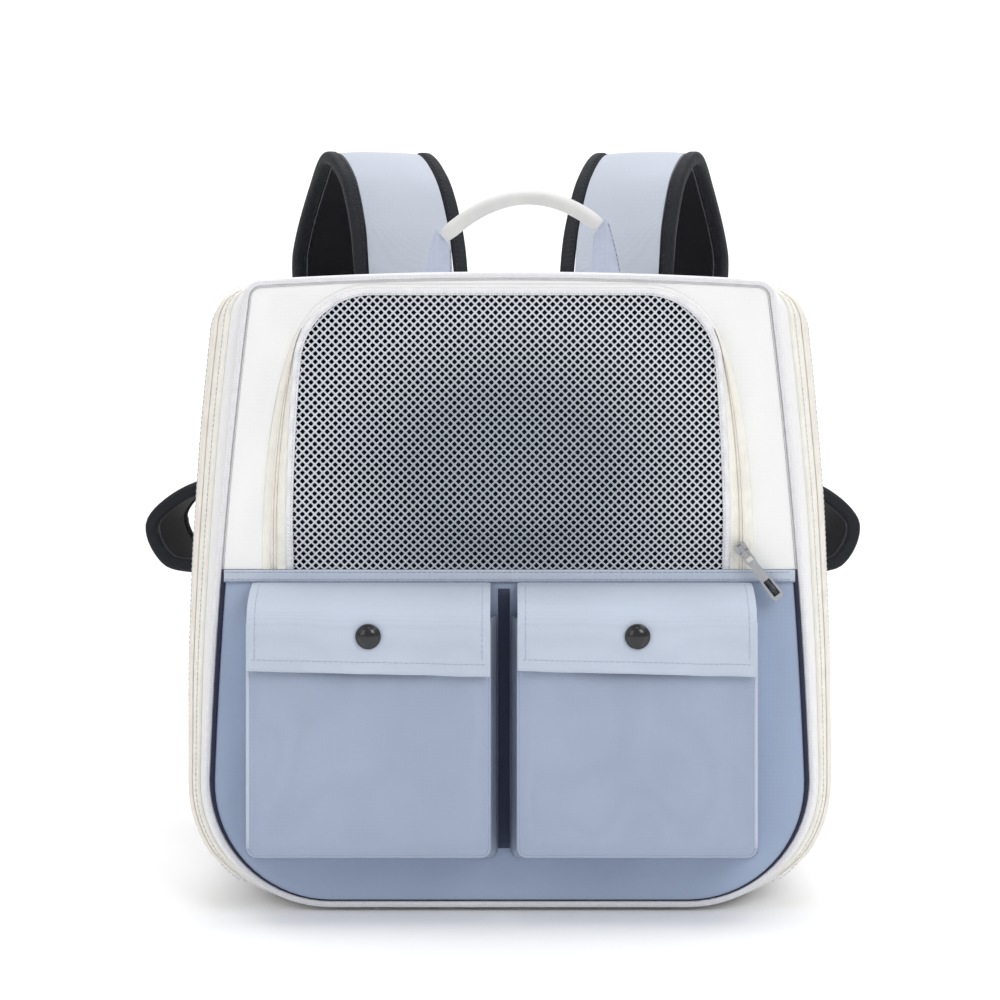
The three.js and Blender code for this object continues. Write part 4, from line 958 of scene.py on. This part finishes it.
def make_net():
    """A knitted net of diamond holes, each with its own rim of rounded thread."""
    half = NET_PITCH / 2
    hole = half - NET_THREAD * math.sqrt(0.5)
    columns = int(NET_FOOT / half) + 3
    rows = int((NET_TOP - SEAM_HEIGHT) / half) + 3
    points, index, faces = [], {}, []

    def point_at(x, z, back):
        key = (round(x, 3), round(z, 3), back)
        if key not in index:
            y = net_depth(x, z) + back
            index[key] = len(points)
            points.append(Vector((x + WINDOW_SHIFT, y, z)))
        return index[key]

    corners = [(1, 0), (0.5, 0.5), (0, 1), (-0.5, 0.5), (-1, 0), (-0.5, -0.5), (0, -1), (0.5, -0.5)]
    for row in range(-1, rows):
        for column in range(-columns, columns + 1):
            if (row + column) % 2:
                continue
            x, z = column * half, SEAM_HEIGHT + row * half
            if z > NET_TOP + 1 or z < SEAM_HEIGHT - 1 or abs(x) > net_half_width(z) - 0.2:
                continue
            outer_front, outer_back, inner_front, inner_back = [], [], [], []
            for dx, dz in corners:
                outer_front.append(point_at(x + dx * half, z + dz * half, 0.0))
                outer_back.append(point_at(x + dx * half, z + dz * half, 0.7))
                scale = hole * (NET_ROUNDING if abs(dx) in (0, 1) else 1)
                inner_front.append(point_at(x + dx * scale, z + dz * scale, 0.22))
                inner_back.append(point_at(x + dx * scale, z + dz * scale, 0.48))
            for step in range(8):
                after = (step + 1) % 8
                faces.append((outer_front[after], outer_front[step], inner_front[step], inner_front[after]))
                faces.append((inner_front[after], inner_front[step], inner_back[step], inner_back[after]))
                faces.append((inner_back[after], inner_back[step], outer_back[step], outer_back[after]))
    finish_mesh("window_net_mesh", points, faces, NET, "net", "window_net")


# Slider and pull

SLIDER_FROM_OPENING, SLIDER_ABOVE_SEAM, SLIDER_THICKNESS = 7, 12, 2.2
BRIDGE_LENGTH, BRIDGE_BAR, BRIDGE_HEADROOM = 8, 1.2, 2.4
PULL_ANGLE, PULL_LENGTH, PULL_THICKNESS, PULL_END_WIDTH = 38, 34, 1.6, 7.6


def bevelled_copy(node, name, width, material, body):
    """The node's own shape with its edges rounded."""
    mesh = bpy.data.objects[node].data.copy()
    mesh.materials.clear()
    mesh.materials.append(material)
    piece = new_object(name, mesh)
    bevel = piece.modifiers.new("bevel", "BEVEL")
    bevel.width = width * MM
    bevel.segments = 3
    bevel.limit_method = "ANGLE"
    bevel.angle_limit = math.radians(35)
    bevel.harden_normals = False
    bake(piece)
    piece.data.polygons.foreach_set("use_smooth", [True] * len(piece.data.polygons))
    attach(piece, body)
    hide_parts(node)
    return keep_edges(piece, 35)


def slider_place(point):
    place = Vector((
        WINDOW_SHIFT + OPENING_FOOT - SLIDER_FROM_OPENING,
        FRONT - bulge_at(SEAM_HEIGHT + SLIDER_ABOVE_SEAM) - COIL_HEIGHT - WINDOW_COIL_GAP - GAP,
        SEAM_HEIGHT + SLIDER_ABOVE_SEAM,
    ))
    return place + Matrix.Rotation(math.radians(-PULL_ANGLE), 3, "Y") @ Vector(point)


def make_slider_and_pull():
    """The slider, the pull on its bridge, and the ribbed recess near the pull's end."""
    bevelled_copy("window_zip_slider", "window_zip_slider_metal", 0.35, STEEL, "bag")
    bevelled_copy("window_zip_pull", "window_zip_pull_metal", 0.22, STEEL, "zip_pull")
    hinge_z = -BRIDGE_LENGTH / 2 + BRIDGE_BAR + 2 * GAP + PULL_THICKNESS / 2
    end = PULL_END_WIDTH / 2
    front = -SLIDER_THICKNESS - BRIDGE_HEADROOM / 2 - PULL_THICKNESS / 2
    floor = rounded_section(-end * 0.58, end * 0.58, -PULL_LENGTH * 0.925, -PULL_LENGTH * 0.605, 0.6)
    parts = [skin([[slider_place((across, front + lift, hinge_z + along)) for across, along in floor]
                   for lift in (0.38, 0.3)])]
    for along in steps(0.64, 0.89, 6):
        rings = [
            [slider_place((across, front + 0.3 - lift, hinge_z - PULL_LENGTH * along + run))
             for run, lift in ((-0.35, 0), (0, 0.22), (0.35, 0))]
            for across in (-end * 0.5, end * 0.5)
        ]
        parts.append(skin(rings))
    finish_mesh("window_zip_pull_grip", *joined(parts), DARK_STEEL, "steel", body="zip_pull")


# Pockets

POCKET_CLOTH = 1.4
FLAP_TOP = SEAM_HEIGHT - TRIM_HEIGHT - GAP
POCKET_TOP = FLAP_TOP - POCKET_BELOW_FLAP_TOP
POCKET_BACK = FRONT - GAP
FLAP_REACH = POCKET_DEPTH + FLAP_CLEARANCE + FLAP_THICKNESS


def pocket_ends(side):
    if side == "right":
        return POCKETS_SHIFT + POCKET_SPACING / 2, PANEL_WIDTH / 2 - POCKET_RIGHT_MARGIN
    return POCKET_LEFT_MARGIN - PANEL_WIDTH / 2, POCKETS_SHIFT - POCKET_SPACING / 2


def section_at(table, share):
    """A row of a table of sections, at a share of its first column."""
    place, t = span_at([row[0] for row in table], share)
    return [a + (b - a) * t for a, b in zip(table[place], table[place + 1])]


def pocket_outline(side, taper, inset):
    """A pocket's outline from its top left, round its foot, to its top right."""
    low, high = pocket_ends(side)
    low, high = low + taper * POCKET_TAPER + inset, high - taper * POCKET_TAPER - inset
    foot = POCKET_FOOT + taper * POCKET_FOOT_TAPER + inset
    radius = POCKET_CORNER_RADIUS
    points = [Vector((low, z)) for z in steps(POCKET_TOP, foot + radius, 24)]
    points += arc((low + radius, foot + radius), radius, 180, 270, 8)
    points += [Vector((x, foot)) for x in steps(low + radius, high - radius, 24)[1:]]
    points += arc((high - radius, foot + radius), radius, 270, 360, 8)
    points += [Vector((high, z)) for z in steps(foot + radius, POCKET_TOP, 24)[1:]]
    return points


def pocket_face_ring(edge, side, share):
    """The front face's ring at a share of the way out to its edge, softly swollen."""
    low, high = pocket_ends(side)
    middle_x, middle_z = (low + high) / 2, (POCKET_TOP + POCKET_FOOT + POCKET_FOOT_TAPER) / 2
    seed = 4.2 if side == "left" else 9.6
    ring = []
    for point in edge:
        x = middle_x + (point.x - middle_x) * share
        z = POCKET_TOP if point.z > POCKET_TOP - 0.1 else middle_z + (point.z - middle_z) * share
        crown = 1.2 * (1 - share) ** 0.5 if share > 0.9 else 0.38 + 0.9 * (1 - share)
        swell = 1.1 * noise.noise(Vector((x / 34 + seed, point.y / 20, z / 42))) * min(1, (1 - share) * 6)
        groove = 0.3 * math.exp(-((share - 0.955) / 0.008) ** 2)
        ring.append(Vector((x, point.y + groove - min(crown + swell, 1.6), z)))
    return ring


def make_pocket_gap_shade():
    """A dark strip of cloth at the bottom of the gap between the pockets: painted shade, where the pockets
    shade the panel between them.
    """
    low, high = pocket_ends("left")[1] + 0.5, pocket_ends("right")[0] - 0.5
    section = rounded_section(low, high, 0.1, 0.5, 0.15)
    heights = steps(POCKET_FOOT + 6, FLAP_TOP - 4, 40)
    rings = [[Vector((x, FRONT - lift, z)) for x, lift in section] for z in heights]
    finish_mesh("pocket_gap_painted_shade", *skin(rings), POCKET_GAP_SHADE, "blue_cloth")


def make_pockets():
    for side in SIDES:
        rings = []
        for depth in (0, 0.12, 0.25, 0.38, 0.5, 0.62, 0.74, 0.86, 0.91):
            pinch = 1.6 * math.sin(math.pi * min(1, depth / 0.86)) ** 2
            outline = pocket_outline(side, section_at(POCKET_SECTIONS, depth)[1], pinch)
            rings.append(upright(outline, POCKET_BACK - depth * POCKET_DEPTH))
        edge = POCKET_EDGE_RADIUS * 0.55
        for angle in (15, 35, 55, 75, 90):
            out = math.radians(angle)
            outline = pocket_outline(side, 1, edge * (1 - math.cos(out)) - 0.25)
            rings.append(upright(outline, POCKET_BACK - POCKET_DEPTH + edge * (1 - math.sin(out))))
        rings += [pocket_face_ring(rings[-1], side, share)
                  for share in (0.985, 0.965, 0.94, 0.9, 0.84, 0.76, 0.66, 0.54, 0.4, 0.25, 0.1)]
        count = len(rings[0])
        points = [point for ring in rings for point in ring]
        faces = [(a, a + 1, a + count + 1, a + count)
                 for start in range(0, len(points) - count, count) for a in range(start, start + count - 1)]
        faces.append(tuple(range(len(points) - count, len(points))))
        piece = finish_mesh(f"pocket_{side}_cloth", points, faces, BLUE, "blue_cloth", f"pocket_{side}")
        wall = piece.modifiers.new("wall", "SOLIDIFY")
        wall.thickness = POCKET_CLOTH * MM
        wall.offset = -1
        bake(piece)
        make_pocket_edges(side)


def make_pocket_edges(side):
    """The sewn ridge round a pocket's front face, and the paler one down its outer side."""
    ridge = upright(pocket_outline(side, 1, 0.4), POCKET_BACK - POCKET_DEPTH + 0.9)
    flank = ridge[:25] if side == "left" else ridge[-25:]
    finish_mesh(f"pocket_{side}_edge", *tube(ridge, 0.8, up=-FORWARD), BLUE, "blue_cloth")
    # The outer side ridge takes the lighter copy of the blue: painted light.
    finish_mesh(f"pocket_{side}_side_edge", *tube(flank, 1.2, up=-FORWARD), LIT_PALE_BLUE, "pale_blue_cloth")


def flap_curve(count=40):
    """The flap's outer face as (out, drop) shares, on a smooth curve."""
    points = [Vector(section) for section in FLAP_SECTIONS]
    ends = [points[0] * 2 - points[1]] + points + [points[-1] * 2 - points[-2]]
    curve = []
    for step in range(count + 1):
        t = step / count * (len(points) - 1)
        place = min(int(t), len(points) - 2)
        t -= place
        p0, p1, p2, p3 = ends[place:place + 4]
        curve.append(0.5 * ((2 * p1) + (p2 - p0) * t + (2 * p0 - 5 * p1 + 4 * p2 - p3) * t * t
                            + (3 * p1 - p0 - 3 * p2 + p3) * t ** 3))
    return curve


def flap_row(share, drop, x, side):
    """A flap's line from its seam to its hem at one place across."""
    line = [Vector((POCKET_BACK - point.x * FLAP_REACH, FLAP_TOP - point.y * drop)) for point in flap_curve()]
    wave = 0.9 * noise.noise(Vector((x / 26, 5.0 if side == "left" else 11.0, 0.4)))
    curl = 0.7 * abs(2 * share - 1) ** 6
    moved = []
    for step, point in enumerate(line):
        run = step / (len(line) - 1)
        moved.append(Vector((point.x + (wave - 0.5) * run ** 2 + curl * run ** 2 + 0.2 * run, point.y)))
    return moved


def make_flaps():
    """The flaps, each with its stitches and its snap."""
    for side in SIDES:
        low, high = pocket_ends(side)
        low, high = low + POCKET_TAPER, high - POCKET_TAPER
        count = 60
        rings, hem = [], []
        for step in range(count + 1):
            share = step / count
            x = low + (high - low) * share
            drop = FLAP_DROP + FLAP_HEM_SLOPE * share + 0.35 * noise.noise(Vector((x / 20, 1, 7)))
            outer = flap_row(share, drop, x, side)
            at_end = step in (0, count)
            inner = moved_out(outer, -1.3 if at_end else -1.9, False)
            outer = moved_out(outer, -0.3, False) if at_end else outer
            inner[0].x = min(inner[0].x, POCKET_BACK)
            tips = [outer[-1] + (inner[-1] - outer[-1]) * part + Vector((0, -0.35)) for part in (0.25, 0.75)]
            rings.append([Vector((x, point.x, point.y)) for point in outer + tips + inner[::-1]])
            if min(share, 1 - share) > 0.012:
                hem.append(Vector((x, outer[-4].x, outer[-4].y)))
        # The flap takes the lighter copy of the blue: painted light from above.
        piece = finish_mesh(f"pocket_flap_{side}_cloth", *skin(rings), LIT_PALE_BLUE, "pale_blue_cloth",
                            f"pocket_flap_{side}", 60)
        lines = flap_curve()
        rows = stitches(hem, Vector((0, -1, 0.05)), radius=0.17, lift=-0.02)
        for edge in (rings[2][4:38], rings[-3][4:38]):
            rows.extend(stitches(edge, Vector((0, -1, 0.4)), radius=0.17, lift=0.0))
        finish_mesh(f"pocket_flap_{side}_stitches", *joined(rows), BLUE_THREAD, "pale_blue_cloth")
        make_snap(side)


# The snap cap's radius as a share, and its depth in millimetres
SNAP_PROFILE = [
    (0.002, 0.4), (0.93, 0.4), (0.99, 0.1), (1, -0.35), (0.985, -0.8), (0.93, -1.2), (0.86, -1.35),
    (0.8, -1.3), (0.76, -1.45), (0.7, -1.95), (0.58, -2.5), (0.42, -2.95), (0.24, -3.25), (0.1, -3.38),
    (0.002, -3.4),
]


def make_snap(side):
    low, high = pocket_ends(side)
    centre = Vector(((low + high) / 2, POCKET_BACK - FLAP_SECTIONS[-1][0] * FLAP_REACH - GAP,
                     FLAP_TOP - FLAP_DROP + SNAP_ABOVE_HEM))
    rings = []
    for share, rise in SNAP_PROFILE:
        reach = share * SNAP_RADIUS
        rings.append([centre + Vector((reach * math.cos(angle), rise, reach * math.sin(angle)))
                      for angle in (math.tau * step / 48 for step in range(48))])
    finish_mesh(f"snap_cap_{side}_dome", *skin(rings), SNAP, "black_plastic", f"snap_cap_{side}")


# Handle


def grip_point(share):
    crest = BODY_TOP + HANDLE_RISE
    return Vector((HANDLE_SHIFT + share * HANDLE_SPAN / 2, FRONT + HANDLE_DEPTH,
                   crest - HANDLE_ARCH * share * share + HANDLE_TILT * share / 2))


def make_handle():
    """The round grip, and the two tabs that hold it."""
    path = [grip_point(share) for share in steps(-1, 1, 48)]
    middle = [GRIP_RADIUS - 0.25 * (1 - abs(step / 24 - 1)) ** 2 for step in range(3, 46)]
    sizes = [3.6, 4.5, 4.85] + middle + [4.85, 4.5, 3.6]
    finish_mesh("handle_grip_rubber", *tube(path, sizes, 20, -FORWARD), RUBBER, "white_rubber",
                "handle_grip", 50)
    for side, sign in SIDES.items():
        end = grip_point(sign)
        inward = (grip_point(sign * 0.9) - end).normalized()
        outward_x = Vector((inward.z, 0, -inward.x))
        foot = Vector((end.x - inward.x * 2 * GAP + sign * TAB_SPLAY, end.y, BODY_TOP + GAP))
        rings = []
        for share in steps(0, 1, 14):
            middle = foot.lerp(end - inward * 2 * GAP, share)
            wide = TAB_FOOT_WIDTH + (TAB_WIDTH - TAB_FOOT_WIDTH) * share
            across = Vector((1, 0, 0)).lerp(outward_x, share).normalized()
            section = rounded_section(-wide / 2, wide / 2, -TAB_THICKNESS / 2, TAB_THICKNESS / 2, 1.0)
            rings.append([middle + across * a + Vector((0, -lift, 0)) for a, lift in section])
        finish_mesh(f"handle_tab_{side}_cloth", *skin(rings), PALE_TAPE, "pale_blue_cloth",
                    f"handle_tab_{side}", 60)
        rows = []
        for inset in (0.22, 0.78):
            path = [a[3].lerp(a[4], inset) for a in rings[1:-1]]
            path = [Vector((point.x, end.y - TAB_THICKNESS / 2, point.z)) for point in path]
            rows.extend(stitches(path, FORWARD, radius=0.25, lift=0))
        finish_mesh(f"handle_tab_stitches_{side}", *joined(rows), BLUE_THREAD, "pale_blue_cloth")


# Ribbons: the frame's straps, with the curl's far edge drawn in a little


class Ribbon:
    """A centre line with a width that turns as it goes, by centripetal Catmull-Rom."""

    SAMPLES = 1600

    def __init__(self, points, turns, sign):
        self.points, self.turns, self.sign = points, turns, sign
        self.samples = [self.point(step / self.SAMPLES) for step in range(self.SAMPLES + 1)]
        self.lengths = lengths_along(self.samples)
        self.length = self.lengths[-1]

    def point(self, share):
        last = len(self.points) - 1
        p = min(max(share, 0), 1) * last
        place = min(int(p), last - 1)
        t = p - place
        p1, p2 = self.points[place], self.points[place + 1]
        p0 = self.points[place - 1] if place > 0 else 2 * p1 - p2
        p3 = self.points[place + 2] if place + 2 <= last else 2 * p2 - p1
        d0, d1, d2 = [max((b - a).length, 1e-4) ** 0.5 for a, b in ((p0, p1), (p1, p2), (p2, p3))]
        m1 = ((p1 - p0) / d0 - (p2 - p0) / (d0 + d1) + (p2 - p1) / d1) * d1
        m2 = ((p2 - p1) / d1 - (p3 - p1) / (d1 + d2) + (p3 - p2) / d2) * d1
        return (p1 + m1 * t + (-3 * p1 + 3 * p2 - 2 * m1 - m2) * t * t
                + (2 * p1 - 2 * p2 + m1 + m2) * t ** 3)

    def share_at(self, along):
        place, share = span_at(self.lengths, min(max(along, 0), self.length))
        return (place + share) / self.SAMPLES

    def frame(self, along):
        share = self.share_at(along)
        low, high = max(share - 0.0005, 0), min(share + 0.0005, 1)
        tangent = (self.point(high) - self.point(low)).normalized()
        spans = len(self.points) - 1
        place = min(spans - 1, int(share * spans))
        t = share * spans - place
        turn = math.radians(self.turns[place] + (self.turns[place + 1] - self.turns[place]) * t)
        width = Vector((self.sign * math.cos(turn), -math.sin(turn), 0))
        width = (width - tangent * width.dot(tangent)).normalized()
        face = tangent.cross(width) * -self.sign
        return self.point(share), width, face

    def place(self, along, across, lift):
        centre, width, face = self.frame(along)
        return centre + width * across + face * lift

    def body(self, alongs, section):
        rings = []
        for along in alongs:
            centre, width, face = self.frame(along)
            rings.append([centre + width * a + face * b for a, b in section(along)])
        return skin(rings)


def strap_ribbon(side):
    sign = SIDES[side]
    seat = BACK + 2 * GAP + STRAP_BINDING_THICKNESS / 2
    root = STRAP_SPACING / 2 + sign * STRAPS_SHIFT
    crest = BODY_TOP + STRAP_RISE
    points = [
        Vector((sign * (root + (STRAP_REACH[side] - root) * out), seat + back * STRAP_STAND_OFF,
                STRAP_CURL_HEIGHT + (crest - STRAP_CURL_HEIGHT) * high))
        for out, back, high, _ in STRAP_SECTIONS
    ]
    return Ribbon(points, [turn for *_, turn in STRAP_SECTIONS], sign)


def make_straps():
    for side, sign in SIDES.items():
        ribbon = strap_ribbon(side)
        half = STRAP_WIDTH / 2 - STRAP_BINDING_WIDTH - GAP
        end = ribbon.length - STRAP_BINDING_WIDTH - GAP
        foot, top = -STRAP_THICKNESS / 2, STRAP_THICKNESS / 2

        def pad_section(along):
            swell = 0.4 * noise.noise(Vector((along / 40, 3.0 * sign, 0)))
            rise = min(1, max(0, (end - along) / 9)) ** 0.5
            points = [(-half, foot + LINING_THICKNESS + GAP), (half, foot + LINING_THICKNESS + GAP)]
            for share in steps(1, -1, 16):
                lift = top - 0.6 + (1.2 + swell) * (1 - abs(share) ** 3.2) * rise
                points.append((half * share, lift))
            return points

        pad = finish_mesh(f"strap_pad_{side}_foam", *ribbon.body(steps(0, end, 220), pad_section), STRAP,
                          "strap_cloth", f"strap_pad_{side}", 60)

        def lining_section(along):
            points = [(half, foot + LINING_THICKNESS), (-half, foot + LINING_THICKNESS)]
            quilt = 0.5 * abs(math.sin(math.pi * along / 24)) ** 0.6
            for share in steps(-1, 1, 16):
                points.append((half * share, foot + 0.35 - 0.7 * (1 - abs(share) ** 4) * quilt))
            return points

        finish_mesh(f"strap_lining_{side}_mesh", *ribbon.body(steps(0, end, 260), lining_section),
                    LINING, "black_cloth", f"strap_lining_{side}", 60)
        make_strap_binding(side, ribbon)
        make_adjuster_and_webbing(side, ribbon)


def make_strap_binding(side, ribbon):
    """A rolled tape down one edge, round the end and up the other edge."""
    middle = (STRAP_WIDTH - STRAP_BINDING_WIDTH) / 2
    end_middle = ribbon.length - STRAP_BINDING_WIDTH / 2
    radius = STRAP_CORNER_RADIUS
    line = [Vector((along, -middle)) for along in steps(0, end_middle - radius, 230)]
    line += arc((end_middle - radius, radius - middle), radius, -90, 0, 8)
    line += [Vector((end_middle, across)) for across in steps(radius - middle, 0, 10)[1:]]
    line += [Vector((point.x, -point.y)) for point in reversed(line[:-1])]
    width, lift = STRAP_BINDING_WIDTH / 2, STRAP_BINDING_THICKNESS / 2
    section = rounded_section(-width + 0.2, width, -lift, lift, 3.2, 5)
    ins_and_outs = {across: moved_out(line, across, False) for across, _ in section}
    rings = []
    for place in range(len(line)):
        ring = []
        for across, height in section:
            at = ins_and_outs[across][place]
            taper = 0.82 if across < -width * 0.4 else 1.0
            ring.append(ribbon.place(at.x, at.y, height * taper))
        rings.append(ring)
    finish_mesh(f"strap_binding_{side}_tape", *skin(rings), BLACK_TAPE, "black_cloth",
                f"strap_binding_{side}", 60)
    inner = moved_out(line, -width * 0.45, False)
    rows = []
    for sign in (1, -1):
        path, normals = [], []
        for place in range(0, len(line), 2):
            at = inner[place]
            centre, _, face = ribbon.frame(at.x)
            path.append(ribbon.place(at.x, at.y, sign * lift * 0.9))
            normals.append(face * sign)
        rows.extend(stitches(path, normals, length=2.6, pitch=3.6, radius=0.25, lift=0.0))
    finish_mesh(f"strap_stitches_{side}", *joined(rows), BLACK_THREAD, "black_cloth")
    # A pale line along the lower edge of the curl only: a painted highlight where the rolled black binding
    # catches the light.
    edge = moved_out(line, -width - 0.1, False)
    lowest = [ribbon.place(at.x, at.y, -lift * 0.62) for at in edge[::2] if at.x > ribbon.length * CURL_START]
    finish_mesh(f"strap_curl_highlight_{side}", *tube(lowest, 0.55, 6), THREAD, "strap_cloth")


def make_adjuster_and_webbing(side, ribbon):
    bevelled_copy(f"strap_adjuster_{side}", f"strap_adjuster_{side}_plastic", 0.6, BUCKLE,
                  "bag")
    sign = SIDES[side]
    origin = ribbon.place(ribbon.length, 0, 0)
    lift_axis = (ribbon.place(ribbon.length, 0, 1) - origin).normalized()
    along_axis = (origin - ribbon.place(ribbon.length - 1, 0, 0)).normalized()
    clear = ADJUSTER_THICKNESS / 2 + WEBBING_THICKNESS / 2 + 2 * GAP
    slot_length = (ADJUSTER_LENGTH - 3 * ADJUSTER_BAR) / 2
    slot_start = GAP + ADJUSTER_LENGTH - ADJUSTER_BAR - slot_length
    threaded = [
        origin + along_axis * along + lift_axis * lift
        for along, lift in (
            (slot_start - ADJUSTER_BAR - WEBBING_TAIL, -clear), (slot_start - GAP, -clear),
            (slot_start + slot_length / 2, 0), (slot_start + slot_length + GAP, clear),
            (GAP + ADJUSTER_LENGTH + WEBBING_LEAD, clear))
    ]
    last = threaded[-1]
    anchor_x = sign * (half_width_at(back_outline, WEBBING_ANCHOR_HEIGHT) - WEBBING_ANCHOR_MARGIN)
    anchor_y = BACK + 2 * GAP + WEBBING_THICKNESS / 2
    fall = last.z - WEBBING_ANCHOR_HEIGHT
    free = [
        Vector((last.x + (anchor_x - last.x) * over, last.y + (anchor_y - last.y) * forward,
                last.z - down * fall))
        for over, forward, down in ((0.35, 0.12, 0.1), (0.75, 0.5, 0.38), (0.95, 0.9, 0.72), (1, 1, 0.88),
                                    (1, 1, 1))
    ]
    band = Ribbon(threaded + free, [90, 90, 90, 90, 90, 80, 45, 10, 0, 0], sign)
    half, thick = WEBBING_WIDTH / 2, WEBBING_THICKNESS / 2
    section = rounded_section(-half, half, -thick, thick, 0.7)
    finish_mesh(f"strap_webbing_{side}_tape",
                *band.body(steps(0, band.length, 160), lambda _: section), BLACK_TAPE, "black_cloth",
                f"strap_webbing_{side}", 70)


def make_cabin_linings():
    """Dark linings inside the lower front and the back, so that nothing pale shows through the net."""
    for name, outline, face_y, reach, material in (
        # The back lining's lighter cloth is painted light.
        ("cabin_back_lining", back_outline, BACK - WALL - 0.8, PANEL_TOP, CABIN_BACK_LIT),
        ("cabin_front_lining", panel_outline, FRONT + WALL + 0.4, SEAM_HEIGHT - 2, CABIN),
    ):
        ring = [point for point in moved_out(outline, -3, True) if point.y < reach]
        if face_y < 0:
            start = next(i for i, point in enumerate(ring) if point.y > reach * 0.5 and point.x < 0)
            ring = ring[start:] + ring[:start]
        rings = [upright(ring, y) for y in (face_y, face_y + 0.4)]
        finish_mesh(name, *skin(rings), material, "black_cloth")


make_camera()
make_studio()
make_gusset()
make_gusset_zippers()
make_front_panels()
make_back_panel()
make_piping()
make_trim_band()
make_window_frame()
make_net()
make_slider_and_pull()
make_pockets()
make_pocket_gap_shade()
make_flaps()
make_handle()
make_straps()
make_cabin_linings()
